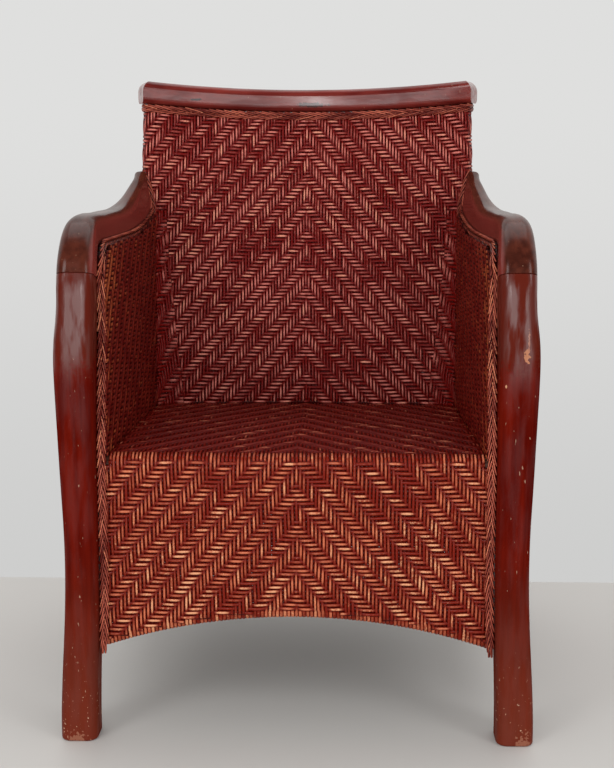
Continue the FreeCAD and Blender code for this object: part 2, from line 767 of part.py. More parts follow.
side_arch_out = back_seat_width / 2 + (seat_back_height - arch_side_height) * side_slope - arch_diameter / 2
side_low = arch_side_height + arch_diameter / 2 + fit_gap
side_arch_p = point(side_arch_out, leg_depth - short_socket, side_low)
side_arch_q = point(low_at.x + 4.0, low_v - post_seat_depth / 2 + short_socket, side_low)
side_arch_m = (side_arch_p + side_arch_q) * 0.5 + V(0, 0, side_arch_rise)
side_arch = bent_rod(side_arch_p, side_arch_m, side_arch_q, arch_diameter)
side_arch_hole = bent_rod(side_arch_p, side_arch_m, side_arch_q, arch_diameter + 2 * dowel_gap)
leg = leg.cut(side_arch_hole)
post = post.cut(side_arch_hole)

# Uprights between side rail and arm
uprights = []
for i in range(upright_count):
    v = bend_centre_v + (rise_start_v - bend_centre_v) * (i + 0.5) / upright_count
    x = back_seat_width / 2 - upright_diameter / 2
    x -= (level_z - arm_depth / 2 - seat_back_height) * side_slope
    low = point(x, v, seat_z(v) - weave - socket_depth)
    high = point(x, v, level_z - arm_depth / 2 + socket_depth)
    uprights.append(rod(low, high, upright_diameter))
    hole = rod(low, high, upright_diameter + 2 * dowel_gap)
    arm = arm.cut(hole)
    side_rail = side_rail.cut(hole)

# Inner side weave, its outline held off the braid that covers its edge
braid_v = front_v - braid_r - fit_gap
braid_level = level_z - arm_depth / 2 + braid_r
side_v = bend_centre_v - braid_bend
step_low = seat_front_height - seat_edge_radius
step_high = step_low + rail_height


def edge_path(offset, end_drop):
    r = braid_bend - offset
    c_v = bend_centre_v
    c_z = braid_level - braid_bend
    m = r * math.sqrt(0.5)
    start = point(0, c_v - r, c_z)
    top = point(0, c_v, c_z + r)
    level_end = point(0, rise_start_v, c_z + r)
    turn = rise_turn
    end_r = rise_radius + end_drop
    half_r = rise_radius + (level_z - (c_z + r) + end_drop) / 2
    middle = point(0, rise_start_v + half_r * math.sin(turn / 2),
                   level_z + rise_radius - half_r * math.cos(turn / 2))
    end = point(0, rise_start_v + end_r * math.sin(turn), level_z + rise_radius - end_r * math.cos(turn))
    return (start, Part.Arc(start, point(0, c_v - m, c_z + m), top), Part.LineSegment(top, level_end),
            Part.Arc(level_end, middle, end), end)


panel_gap = braid_r + braid_gap + fit_gap
start, bend, level, rise, end = edge_path(panel_gap, arm_end_depth / 2 - braid_r + panel_gap)
panel_low = seat_z(front_v) - weave
back_low = point(0, seat_back_v + 15.0, seat_z(seat_back_v + 15.0) - weave)
front_low = point(0, side_v + panel_gap, panel_low)
inner_edges = [Part.LineSegment(front_low, start).toShape(), bend.toShape(), level.toShape(), rise.toShape(),
               Part.LineSegment(end, point(0, end.y + overall_depth / 2 + 12.0, end.z)).toShape(),
               Part.LineSegment(point(0, end.y + overall_depth / 2 + 12.0, end.z), back_low).toShape(),
               Part.LineSegment(back_low, front_low).toShape()]
inner_side = prism(inner_edges, seat_half, weave)
inner_side = inner_side.cut(shell_clear).cut(shell_foot)


# Outer side weave, leaning with the posts, between leg, arm, back and lower arch


def rear_edge_v(z):
    half, middle_v, radius, depth = back_level(z)
    r = radius + depth + shell_extra
    return polar(z, r, math.asin(half / radius), post_shift(z)).y + overall_depth / 2 - 2.0


def under_arm(gap):
    r = arm_bend_radius - arm_depth / 2 - gap
    m = r * math.sqrt(0.5)
    low_z = level_z - arm_depth / 2 - gap
    start = point(0, bend_centre_v - r, bend_start_z)
    top = point(0, bend_centre_v, low_z)
    level_end = point(0, rise_start_v, low_z)
    end_r = rise_radius + arm_end_depth / 2 + gap
    half_r = rise_radius + (arm_depth + arm_end_depth) / 4 + gap
    middle = point(0, rise_start_v + half_r * math.sin(rise_turn / 2),
                   level_z + rise_radius - half_r * math.cos(rise_turn / 2))
    end = point(0, rise_start_v + end_r * math.sin(rise_turn),
                level_z + rise_radius - end_r * math.cos(rise_turn))
    bend = Part.Arc(start, point(0, bend_centre_v - m, bend_start_z + m), top)
    return start, bend, Part.LineSegment(top, level_end), Part.Arc(level_end, middle, end), end


start, bend, level, rise, end = under_arm(2 * braid_gap)
side_front_v = leg_depth + fit_gap
corner_low = point(0, side_front_v, arch_side_height)
corner_high = point(0, side_front_v, bend_start_z - 8.0)
rear_points = []
for i in range(7):
    z = arch_side_height + (end.z - arch_side_height) * i / 6
    rear_points.append(point(0, rear_edge_v(z), z))
arch_top = (corner_low + rear_points[0]) * 0.5 + V(0, 0, side_arch_rise)
outer_edges = [Part.LineSegment(corner_low, corner_high).toShape(),
               Part.LineSegment(corner_high, start).toShape(), bend.toShape(),
               level.toShape(), rise.toShape(),
               Part.LineSegment(end, rear_points[-1]).toShape(), spline(rear_points[::-1]),
               Part.Arc(rear_points[0], arch_top, corner_low).toShape()]
outer_side = prism(outer_edges, back_seat_width / 2 + fit_gap, weave)
outer_side.rotate(V(back_seat_width / 2 + fit_gap, 0, seat_back_height), V(0, 1, 0),
                  -math.degrees(math.atan(side_slope)))
outer_side = outer_side.cut(shell_clear).cut(shell_foot)


# Braids over the woven edges
def braid_route():
    points = []
    low = arch_side_height - braid_r
    for i in range(13):
        z = low + (braid_level - braid_bend - low) * i / 12
        v = blend(braid_v, side_v, (z - step_low) / (step_high - step_low))
        points.append(point(leg_inner(z) - braid_r - braid_gap, v, z))
    c_v, c_z = bend_centre_v, braid_level - braid_bend
    for i in range(1, 6):
        turn = math.pi / 2 * i / 5
        share = (90.0 * i / 5 - 2 * joint_turn) / (90.0 - joint_turn)
        x = blend(joint_spread - joint_width, arm_spread - arm_width, share) - braid_r - braid_gap
        points.append(point(x, c_v - braid_bend * math.cos(turn), c_z + braid_bend * math.sin(turn)))
    for i in range(1, 5):
        s = bend_length + level_length * i / 4
        x, w, h = arm_size(s)
        points.append(point(x - w / 2 - braid_r - 3 * braid_gap, arm_path(s)[0], braid_level))
    for i in range(1, 6):
        s = bend_length + level_length + rise_length * (i / 5) * 0.86
        x, w, h = arm_size(s)
        v, z, lean = arm_path(s)
        down = h / 2 - braid_r
        in_by = w / 2 + braid_r + 5 * braid_gap + down * math.sin(arm_roll(s))
        points.append(point(x - in_by, v + down * math.sin(lean), z - down * math.cos(lean)))
    last = points[-1]
    for i in (1, 2, 3):
        z = last.z + (arm_end_z + arm_end_depth / 2 - last.z) * i / 3
        x = last.x + (z - last.z) * math.tan(math.radians(arm_twist))
        half, middle_v, radius, depth = back_level(z)
        face_v = middle_v - radius + math.sqrt(radius * radius - x * x)
        points.append(point(x, face_v - braid_r - 2 * braid_gap, z))
    return points


inner_braid = cord(braid_route(), braid)
braid_room = cord(braid_route(), braid + 2 * fit_gap)
inner_side = max(inner_side.cut(braid_room).Solids, key=lambda one: one.Volume)
seat_mat = seat_mat.cut(braid_room).cut(mirrored(braid_room))


def outer_route():
    points = []
    rise_by = braid_r + 3 * braid_gap
    low, high = arch_side_height, bend_start_z - 8.0
    face = back_seat_width / 2 + fit_gap + weave + braid_r + fit_gap

    def x_at(z):
        return face + (seat_back_height - z) * side_slope
    for i in range(5):
        z = low + (high - low) * i / 4
        points.append(point(x_at(z), side_front_v + rise_by, z))
    r = arm_bend_radius - arm_depth / 2 - rise_by - fit_gap
    for i in (1, 2, 3):
        turn = math.pi / 2 * i / 3
        z = bend_start_z + r * math.sin(turn)
        points.append(point(x_at(z), bend_centre_v - r * math.cos(turn), z))
    for i in (1, 2, 3):
        z = bend_start_z + r
        points.append(point(x_at(z), bend_centre_v + level_length * i / 3, z))
    for i in (1, 2, 3):
        s = bend_length + level_length + rise_length * (i / 3) * 0.86
        v, z, lean = arm_path(s)
        down = arm_size(s)[2] / 2 + rise_by + 2 * braid_gap
        z = z - down * math.cos(lean)
        points.append(point(x_at(z), v + down * math.sin(lean), z))
    return points


outer_braid = cord(outer_route(), braid)

ring = shell_solid(seat_back_height, crest_end_bottom + 6.0, -fit_gap - crest_braid_depth)
ring = ring.cut(shell_clear).cut(over_crest)
crest_braid = ring.common(above_dip(2 * fit_gap + crest_braid_height))

save_pair("front_leg", leg)
save_pair("arm", arm)
save_pair("rear_leg", post)
save("crest_rail", crest)
save("front_seat_rail", front_rail)
save("rear_seat_rail", rear_rail)
save_pair("side_seat_rail", side_rail)
for i in range(slat_count):
    save("seat_slat_" + str(i + 1), slats[i])
for i in range(stave_count):
    save("back_stave_" + str(i + 1), staves[i])
for i in range(upright_count):
    save_pair("side_upright_" + str(i + 1), uprights[i])
save("front_arch_rail", front_arch)
save("rear_arch_rail", rear_arch)
save_pair("side_arch_rail", side_arch)
save_pair("front_corner_block", front_block)
save_pair("rear_corner_block", rear_block)
save("seat_and_skirt_weave", seat_mat)
save("back_weave_front", back_weave_front)
save("back_weave_rear", back_weave_rear)
save("rear_skirt_weave", rear_skirt)
save_pair("inner_side_weave", inner_side)
save_pair("outer_side_weave", outer_side)
save_pair("front_edge_braid", inner_braid)
save_pair("outer_edge_braid", outer_braid)
save("crest_braid", crest_braid)
save("rail_dowels", Part.makeCompound(rail_dowels))
save("arm_dowels", Part.makeCompound(arm_dowels + [mirrored(one) for one in arm_dowels]))
save("crest_dowels", Part.makeCompound(crest_dowels))
save("block_screws", Part.makeCompound(screws))
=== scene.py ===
import math

import bpy
import numpy as np
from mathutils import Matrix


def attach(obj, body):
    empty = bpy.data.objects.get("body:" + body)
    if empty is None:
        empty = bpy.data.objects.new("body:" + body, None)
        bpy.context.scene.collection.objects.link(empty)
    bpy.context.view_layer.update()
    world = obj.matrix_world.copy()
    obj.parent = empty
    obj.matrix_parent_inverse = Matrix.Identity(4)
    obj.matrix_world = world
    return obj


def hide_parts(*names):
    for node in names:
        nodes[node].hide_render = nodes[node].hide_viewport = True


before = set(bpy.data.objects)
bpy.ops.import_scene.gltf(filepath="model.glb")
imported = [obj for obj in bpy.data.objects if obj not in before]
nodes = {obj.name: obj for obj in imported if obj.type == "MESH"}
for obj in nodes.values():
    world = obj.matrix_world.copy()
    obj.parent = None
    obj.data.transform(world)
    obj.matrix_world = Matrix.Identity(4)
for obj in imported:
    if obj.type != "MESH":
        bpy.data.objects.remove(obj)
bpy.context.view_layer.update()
print("frame loaded")

# Shape of the chair in millimetres. Depth v runs back from the front legs, x to the right, z up.
chair = {
    "depth": 610.3, "seatHalf": 249.0, "frontV": 26.0, "seatDepth": 455.0, "seatFront": 395.0,
    "seatFall": 22.0, "edgeRadius": 14.0, "weave": 4.5, "fitGap": 0.3, "backOutset": 36.0,
    "backTopOutset": 16.0, "backLean": 88.0, "seatHollow": 12.0, "topHollow": 44.0, "edgeRound": 12.0,
    "postSeat": 34.0, "postTop": 27.0, "postWidth": 34.0, "postFoot": 34.0, "rearFootSet": 18.0,
    "rakeBlend": 150.0, "crestBottom": 869.0, "crestDip": 13.0, "crestHalf": 277.0, "archMid": 169.0,
    "archSide": 126.0, "legHalf": 25.0, "jointZ": 606.0, "armLevel": 681.0, "armDepth": 46.0,
    "armWidth": 42.0, "armOuter": 305.0, "armBend": 75.0, "braidBend": 58.0, "armRise": 47.0,
    "armRun": 230.0, "armReach": 8.0, "armEndWidth": 20.0, "armEndDepth": 66.0, "armTwist": 10.0,
    "railRadius": 8.0,
    "inset": 1.2,  # middle of a weave under its panel's face
    "hemRise": 9.0,  # last row of a skirt above its arched edge
}
# Front leg: height, outer x and width
legStations = [(0.0, 320.0, 50.0), (250.0, 307.2, 44.7), (524.8, 312.3, 52.0), (606.0, 305.5, 48.0)]
mm = 0.001
seatBackV = chair["frontV"] + chair["seatDepth"]
seatBackZ = chair["seatFront"] - chair["seatFall"]
backRise = chair["crestBottom"] - seatBackZ
outerFace = chair["seatHalf"] + chair["backOutset"] + chair["fitGap"] + chair["weave"]
sideNames = {-1: "left", 1: "right"}
rng = np.random.default_rng(7)


def ease(a, b, t):
    t = np.clip(t, 0, 1)
    return a + (b - a) * t * t * (3 - 2 * t)


def hump(value, middle, spread):
    return np.exp(-((value - middle) / spread) ** 2)


def unit(a):
    return a / np.maximum(np.linalg.norm(a, axis=-1, keepdims=True), 1e-9)


def runAlong(points):
    return np.concatenate([[0], np.cumsum(np.linalg.norm(np.diff(points, axis=0), axis=1))])


def place(x, v, z):
    return np.stack(np.broadcast_arrays(x, v - chair["depth"] / 2, z), axis=-1) * mm


def seatZ(v):
    return chair["seatFront"] - chair["seatFall"] * (v - chair["frontV"]) / chair["seatDepth"]


def backLevel(z):
    # Half width, depth of the front face's middle, its radius and the thickness of the back at one height
    k = (z - seatBackZ) / backRise
    half = chair["seatHalf"] + chair["backOutset"] + (chair["backTopOutset"] - chair["backOutset"]) * k
    hollow = chair["seatHollow"] + (chair["topHollow"] - chair["seatHollow"]) * k
    middle = seatBackV + chair["backLean"] * k
    post = chair["postSeat"] + (chair["postTop"] - chair["postSeat"]) * k
    radius = (half * half + hollow * hollow) / (2 * hollow)
    return half, middle, radius, post + 2 * (chair["weave"] + chair["fitGap"])


def backFace(x, z):
    # Depth of the back's front face
    middle, radius = backLevel(z)[1:3]
    return middle - radius + np.sqrt(radius ** 2 - x ** 2)


def backPlan(z, inset, front, count):
    # One level of the back from its middle round the edge to half depth, at even spacing on both sides
    half, middle, radius, depth = backLevel(z)
    flatSteps, edgeSteps = 60, 4
    corner = chair["edgeRound"] - inset
    r0 = radius + inset if front else radius + depth - inset
    grow = 1 if front else -1
    a0 = math.asin(half / radius) - inset / r0
    t = np.linspace(0, math.pi / 2, 9)[1:]
    reach = np.linspace(r0 + grow * corner, radius + depth / 2, edgeSteps + 1)[1:]
    angle = np.concatenate([np.linspace(0, a0 - corner / r0, flatSteps), a0 - corner / r0 * (1 - np.sin(t)),
                            np.full(edgeSteps, a0)])
    r = np.concatenate([np.full(flatSteps, r0), r0 + grow * corner * (1 - np.cos(t)), reach])
    plan = np.stack([r * np.sin(angle), middle - radius + r * np.cos(angle)], axis=-1)
    run = runAlong(plan)
    at = np.linspace(0, run[-1], count + 1)
    x, v = np.interp(at, run, plan[:, 0]), np.interp(at, run, plan[:, 1])
    return np.concatenate([-x[:0:-1], x]), np.concatenate([v[:0:-1], v])


def crestUnder(x):
    return chair["crestBottom"] - chair["crestDip"] * (1 - np.minimum(1, (x / chair["crestHalf"]) ** 2))


def archCurve(x, half, top, rise):
    bow = (half * half + rise * rise) / (2 * rise)
    return top - bow + np.sqrt(np.maximum(bow * bow - x * x, 0))


def skirtArch(x, half):
    return archCurve(x, half, chair["archMid"], chair["archMid"] - chair["archSide"])


def legInner(z):
    inner = np.zeros_like(z)
    for (z0, o0, w0), (z1, o1, w1) in zip(legStations[:-1], legStations[1:]):
        t = (z - z0) / (z1 - z0)
        inner = np.where(t >= 0, ease(o0, o1, t) - ease(w0, w1, t), inner)
    return inner


armEndZ = chair["armLevel"] + chair["armRise"]
armEndX = backLevel(armEndZ)[0]
riseStart = backFace(armEndX, armEndZ) + chair["armReach"] - chair["armRun"]
riseTurn = 2 * math.atan(chair["armRise"] / chair["armRun"])
riseRadius = chair["armRun"] / math.sin(riseTurn)
riseLength = riseRadius * riseTurn
bendV = chair["legHalf"] + chair["armBend"]
bendInner = chair["armBend"] - chair["armDepth"] / 2
levelLength = riseStart - bendV


def armSize(s):
    # Centre x, width and depth of the arm, s measured from the start of its level run
    t = (s - levelLength) / riseLength
    return (ease(chair["armOuter"] - chair["armWidth"] / 2, armEndX, t),
            ease(chair["armWidth"], chair["armEndWidth"], t),
            ease(chair["armDepth"], chair["armEndDepth"], t))


def armUnder(v, gap):
    # Height of the arm's underside less a gap, over depth v
    meanHalf = (chair["armDepth"] + chair["armEndDepth"]) / 4
    turn = np.arcsin(np.clip((v - riseStart) / (riseRadius + meanHalf), 0, math.sin(riseTurn)))
    half = armSize(levelLength + riseRadius * turn)[2] / 2 + gap
    return np.where(v < riseStart, chair["armLevel"] - chair["armDepth"] / 2 - gap,
                    chair["armLevel"] + riseRadius - (riseRadius + half) * np.cos(turn))


def bendUnder(v, radius):
    # Height of a curve of this radius inside the arm's bend, and no limit behind the bend
    return np.where(v < bendV, chair["jointZ"] + np.sqrt(np.maximum(radius ** 2 - (bendV - v) ** 2, 0)), 1e4)


# Strands
ringSix = np.array([(-0.42, -0.5), (0.42, -0.5), (0.5, -0.1), (0.2, 0.5), (-0.2, 0.5), (-0.5, -0.1)])
ringFour = np.array([(-0.44, -0.5), (0.44, -0.5), (0.36, 0.5), (-0.36, 0.5)])
# How deep each corner of a strand lies in the groove beside it, which sets how much painted shadow that
# corner gets
grooveDepth = {6: np.array([1.0, 1.0, 0.95, 0.0, 0.0, 0.95]), 4: np.array([1.0, 1.0, 0.15, 0.15])}
endCaps = {6: [[3, 2, 1, 0], [5, 4, 3, 0]], 4: [[3, 2, 1, 0]]}
uvMargin = 0.06
capWidth = 0.002


class StrandSet:
    def __init__(self, ring):
        self.ring = ring
        self.strands = []

    def add(self, centres, ups, width, height, tone, wear, sunk=0.0):
        if len(centres) < 2:
            return
        along = unit(np.gradient(centres, axis=0))
        side = unit(np.cross(along, ups))
        up = np.cross(side, along)
        w = np.broadcast_to(width, len(centres))[:, None, None] * mm
        h = np.broadcast_to(height, len(centres))[:, None, None] * mm
        rings = (centres[:, None, :] + side[:, None, :] * w * self.ring[None, :, :1]
                 + up[:, None, :] * h * self.ring[None, :, 1:])
        tone, wear, sunk = (np.broadcast_to(value, len(centres)) for value in (tone, wear, sunk))
        self.strands.append((rings, runAlong(centres), tone, wear, sunk))

    def build(self, name, material, node, slot):
        m = len(self.ring)
        longest = max(strand[1][-1] for strand in self.strands)
        verts, faces, uvs, tones, wears, grooves = [], [], [], [], [], []
        base = 0
        total = len(self.strands)
        k = np.arange(m)
        caps = endCaps[m]
        for index, (rings, run, tone, wear, sunk) in enumerate(self.strands):
            n = len(rings)
            verts.append(rings.reshape(-1, 3))
            a = base + np.arange(n - 1)[:, None] * m
            quads = np.stack([a + k, a + (k + 1) % m, a + m + (k + 1) % m, a + m + k], axis=-1).reshape(-1, 4)
            u = run / longest
            v0 = (index + uvMargin + (1 - 2 * uvMargin) * k / m) / total
            v1 = (index + uvMargin + (1 - 2 * uvMargin) * (k + 1) / m) / total
            ua, ub = np.repeat(u[:-1], m), np.repeat(u[1:], m)
            va, vb = np.tile(v0, n - 1), np.tile(v1, n - 1)
            corners = ((ua, va), (ua, vb), (ub, vb), (ub, va))
            uv = np.stack([np.stack(corner, -1) for corner in corners], axis=1)
            last = base + (n - 1) * m
            ends = np.array([[base + c for c in cap] for cap in caps]
                            + [[last + c for c in cap[::-1]] for cap in caps])
            capUv = np.full((len(ends), 4, 2), (0.0, v0[0]))
            capUv[len(caps):, :, 0] = u[-1]
            capUv[:, 1:3, 1] = v1[-1]
            capUv[:, 2:, 0] += capWidth
            faces.extend([quads, ends])
            uvs.extend([uv, capUv])
            tones.append(np.repeat(tone, m))
            wears.append(np.repeat(wear, m))
            # Groove: painted shadow on each corner, deeper where the strand sinks under its neighbour
            grooves.append((1 - (1 - sunk)[:, None] * (1 - grooveDepth[m])[None, :]).ravel())
            base += n * m
        mesh = bpy.data.meshes.new(name)
        mesh.from_pydata(np.concatenate(verts).tolist(), [], np.concatenate(faces).tolist(), shade_flat=False)
        layer = mesh.uv_layers.new(name="OFBake")
        layer.data.foreach_set("uv", np.concatenate(uvs).ravel().astype(np.float32))
        for title, values in (("tone", tones), ("wear", wears), ("groove", grooves)):
            attribute = mesh.attributes.new(title, "FLOAT", "POINT")
            attribute.data.foreach_set("value", np.concatenate(values).astype(np.float32))
        mesh.materials.append(material)
        piece = bpy.data.objects.new(name, mesh)
        bpy.context.scene.collection.objects.link(piece)
        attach(piece, "root")
        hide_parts(node)
        print("built", name, len(mesh.polygons), "faces")


# What all woven strands share; sizes in millimetres, tones from 0 (dark) to 1 (light)
# Rows start lighter in tone than columns: a painted highlight on the horizontal strands
strandLook = {"widths": (0.93, 1.06), "rowHighlightTone": 0.57, "columnShadeTone": 0.44, "strandTone": 0.5,
              "floatTone": 0.65, "floatStray": 0.3, "waver": 0.5, "sunk": 0.55, "endReach": 0.4,
              "railGap": 3.6, "wrapGap": 1.5}
floatLift = np.array([0.45, 1.0, 1.0, 0.45, -0.45, -1.0, -1.0, -0.45])  # over four, under four
cycle = len(floatLift)


def runsOf(keep):
    edges = np.flatnonzero(np.diff(np.concatenate([[0], keep.astype(int), [0]])))
    return zip(edges[::2], edges[1::2])


def gridNormals(points, towards):
    n = unit(np.cross(np.gradient(points, axis=0), np.gradient(points, axis=1)))
    flip = np.sign(np.sum(n * np.asarray(towards, float), axis=-1, keepdims=True).mean())
    return n * flip


def floatDraw(phase, spread):
    # One random value for each float of a strand, the two flanks of a chevron apart
    flank = np.cumsum(np.concatenate([[0], np.abs(np.diff(np.sign(np.diff(phase)))) > 0, [0]]))[:len(phase)]
    ids = np.floor_divide(phase, cycle) - np.floor_divide(phase.min(), cycle)
    table = rng.uniform(-spread, spread, (int(flank.max()) + 1, int(ids.max()) + 1))
    return table[flank, ids]


def waver(points):
    # Slow drift of the strands within their panel
    a, b = np.meshgrid(np.arange(points.shape[0]), np.arange(points.shape[1]), indexing="ij")
    across = np.sin(a * 0.21 + b * 0.10 + 0.7) + np.sin(a * 0.08 - b * 0.33 + 2.9)
    along = np.sin(a * 0.12 + b * 0.24 + 4.3) + np.sin(a * 0.37 - b * 0.07 + 1.6)
    return points + (unit(np.gradient(points, axis=0)) * across[..., None]
                     + unit(np.gradient(points, axis=1)) * along[..., None]) * strandLook["waver"] * mm


def layStrand(line, up, lift, stray):
    # Raise the strand at its floats and let it stray sideways
    drift = np.cross(unit(np.gradient(line, axis=0)), up) * stray[:, None] if len(line) > 1 else 0
    return line + up * (lift * mm)[:, None] + drift * mm


def weavePanel(title, node, cane, ring, points, normals, keep, phase, wear, look, tails=None):
    # Every row and column is one strand
    rowSet, columnSet = StrandSet(ring), StrandSet(ring)
    points = waver(points)
    lift = floatLift[phase % cycle]
    # How far a strand sinks at each crossing: a sunk strand is wider and gets more painted shadow
    under = np.clip(strandLook["sunk"] * (1 - lift), 0, 1)
    over = np.clip(strandLook["sunk"] * (1 + lift), 0, 1)
    endReach = strandLook["endReach"]

    def drawWidth(width, sunk):
        return width * rng.uniform(*strandLook["widths"]) * (1 + look["spread"] * (sunk > 0.5))

    def drawStray(cells):
        return rng.normal(0, look["stray"]) + floatDraw(cells, strandLook["floatStray"])

    def drawTone(level, cells):
        shift = strandLook["strandTone"] * rng.uniform(-0.5, 0.5)
        return level + shift + floatDraw(cells, strandLook["floatTone"])

    for j in range(points.shape[1]):
        cells = phase[:, j]
        wide = drawWidth(look["rowWidth"], under[:, j])
        stray = drawStray(cells)
        tone = drawTone(strandLook["rowHighlightTone"], cells)
        rub = wear[:, j] + look["rowWear"] + floatDraw(cells, look["floatWear"])
        for a, b in runsOf(keep[:, j]):
            up = normals[a:b, j]
            line = layStrand(points[a:b, j], up, look["lift"] * lift[a:b, j], stray[a:b])
            if b - a > 2:
                line[0] += (line[0] - line[1]) * endReach
                line[-1] += (line[-1] - line[-2]) * endReach
            rowSet.add(line, up, wide[a:b], look["thick"], tone[a:b], rub[a:b], under[a:b, j])
    for i in range(points.shape[0]):
        cells = phase[i] + cycle // 2
        wide = drawWidth(look["columnWidth"], over[i])
        tone = drawTone(strandLook["columnShadeTone"], cells)
        rub = wear[i] + floatDraw(cells, look["floatWear"])
        stray = drawStray(cells)
        for a, b in runsOf(keep[i]):
            up = normals[i, a:b]
            line = layStrand(points[i, a:b], up, -look["lift"] * lift[i, a:b], stray[a:b])
            worn, shade, sunk, girth = rub[a:b], tone[a:b], over[i, a:b], wide[a:b]
            if b - a > 2:
                line[0] += (line[0] - line[1]) * endReach
            if tails is not None and b == tails[i][2]:
                more = len(tails[i][0])
                line = np.concatenate([line, tails[i][0]])
                up = np.concatenate([up, tails[i][1]])
                worn = np.pad(worn, (0, more), "edge")
                shade = np.pad(shade, (0, more), "edge")
                sunk = np.pad(sunk, (0, more))
                girth = np.pad(girth, (0, more), constant_values=girth.max())
            columnSet.add(line, up, girth, look["thick"], shade, worn, sunk)
    rowSet.build(title + "_rows", cane, node, "woven_cane")
    columnSet.build(title + "_columns", cane, node, "woven_cane")


def railTails(points, normals, keep, arch):
    # Every column goes on round the bent rail at the panel's lower edge
    radius = chair["railRadius"]
    tails = {}
    bend = np.linspace(0, math.pi, 7)[:, None]
    for index in range(len(points)):
        last = np.flatnonzero(keep[index])[-1]
        out = unit(normals[index, last] * np.array([1.0, 1.0, 0.0]))
        centre = points[index, last] - out * (radius + strandLook["railGap"]) * mm
        centre[2] = (arch[index] + radius + chair["fitGap"]) * mm
        up = np.cos(bend) * out - np.sin(bend) * np.array([0.0, 0.0, 1.0])
        tails[index] = (centre + up * (radius + strandLook["wrapGap"]) * mm, up, last + 1)
    return tails


# Materials
def tint(r, g, b):
    out = []
    for c in (r / 255, g / 255, b / 255):
        out.append(c / 12.92 if c <= 0.04045 else ((c + 0.055) / 1.055) ** 2.4)
    return (*out, 1.0)


def newGroup(name, inputs, outputs):
    # Inputs and outputs by name: C for a colour, F for a value, V for a vector
    kinds = {"C": "NodeSocketColor", "F": "NodeSocketFloat", "V": "NodeSocketVector"}
    group = bpy.data.node_groups.new(name, "ShaderNodeTree")
    for title, kind in inputs.items():
        group.interface.new_socket(title, in_out="INPUT", socket_type=kinds[kind])
    for title, kind in outputs.items():
        group.interface.new_socket(title, in_out="OUTPUT", socket_type=kinds[kind])
    return group, group.nodes.new("NodeGroupInput").outputs, group.nodes.new("NodeGroupOutput").inputs


def newMaterial(name):
    material = bpy.data.materials.new(name)
    material.use_nodes = True
    return material, material.node_tree, material.node_tree.nodes["Principled BSDF"].inputs


def put(tree, kind, inputs=None, **settings):
    node = tree.nodes.new(kind)
    for key, value in settings.items():
        setattr(node, key, value)
    for key, value in (inputs or {}).items():
        if isinstance(value, bpy.types.NodeSocket):
            tree.links.new(value, node.inputs[key])
        else:
            node.inputs[key].default_value = value
    return node


def calc(tree, operation, a, b=0.5, clamp=False):
    return put(tree, "ShaderNodeMath", {0: a, 1: b}, operation=operation, use_clamp=clamp).outputs[0]


def plus(tree, a, b):
    return calc(tree, "ADD", a, b)


def minus(tree, a, b):
    return calc(tree, "SUBTRACT", a, b)


def times(tree, a, b):
    return calc(tree, "MULTIPLY", a, b)


def sumOf(tree, *parts):
    # Sum of values, each times its share
    total = times(tree, *parts[0])
    for part in parts[1:]:
        total = plus(tree, total, times(tree, *part))
    return total


def lifted(tree, value, low):
    # Value from 0 to 1 brought to low to 1
    return plus(tree, times(tree, value, 1.0 - low), low)


def vector(tree, operation, *inputs):
    return put(tree, "ShaderNodeVectorMath", dict(enumerate(inputs)), operation=operation).outputs


def mixed(tree, factor, a, b):
    return put(tree, "ShaderNodeMix", {0: factor, 6: a, 7: b}, data_type="RGBA").outputs[2]


def stepped(tree, value, low, high):
    return put(tree, "ShaderNodeMapRange", {"Value": value, "From Min": low, "From Max": high},
               interpolation_type="SMOOTHSTEP").outputs[0]


def noise(tree, coord, scale, detail=3.0):
    return put(tree, "ShaderNodeTexNoise", {"Vector": coord, "Scale": scale, "Detail": detail}).outputs["Fac"]


# Lacquered cane: noise scales, what share each has in the tone, and where wear and grooves begin and end. The
# light colour is a painted highlight on each strand's crown, the gap colour painted shadow in the grooves.
caneMarks = {"fine": 420.0, "fleck": 130.0, "broad": 12.0, "toneShare": 0.8, "broadShare": 2.0,
             "fleckShare": 0.8, "darken": 1.2, "level": 1.62, "crown": (0.0, 0.5), "rubFine": 1.1,
             "rubTone": 0.35, "rub": (0.38, 0.8), "gap": (0.35, 0.9), "wornRough": 0.16, "fineRough": 0.25,
             "bump": (0.25, 0.0006), "specular": 0.06}


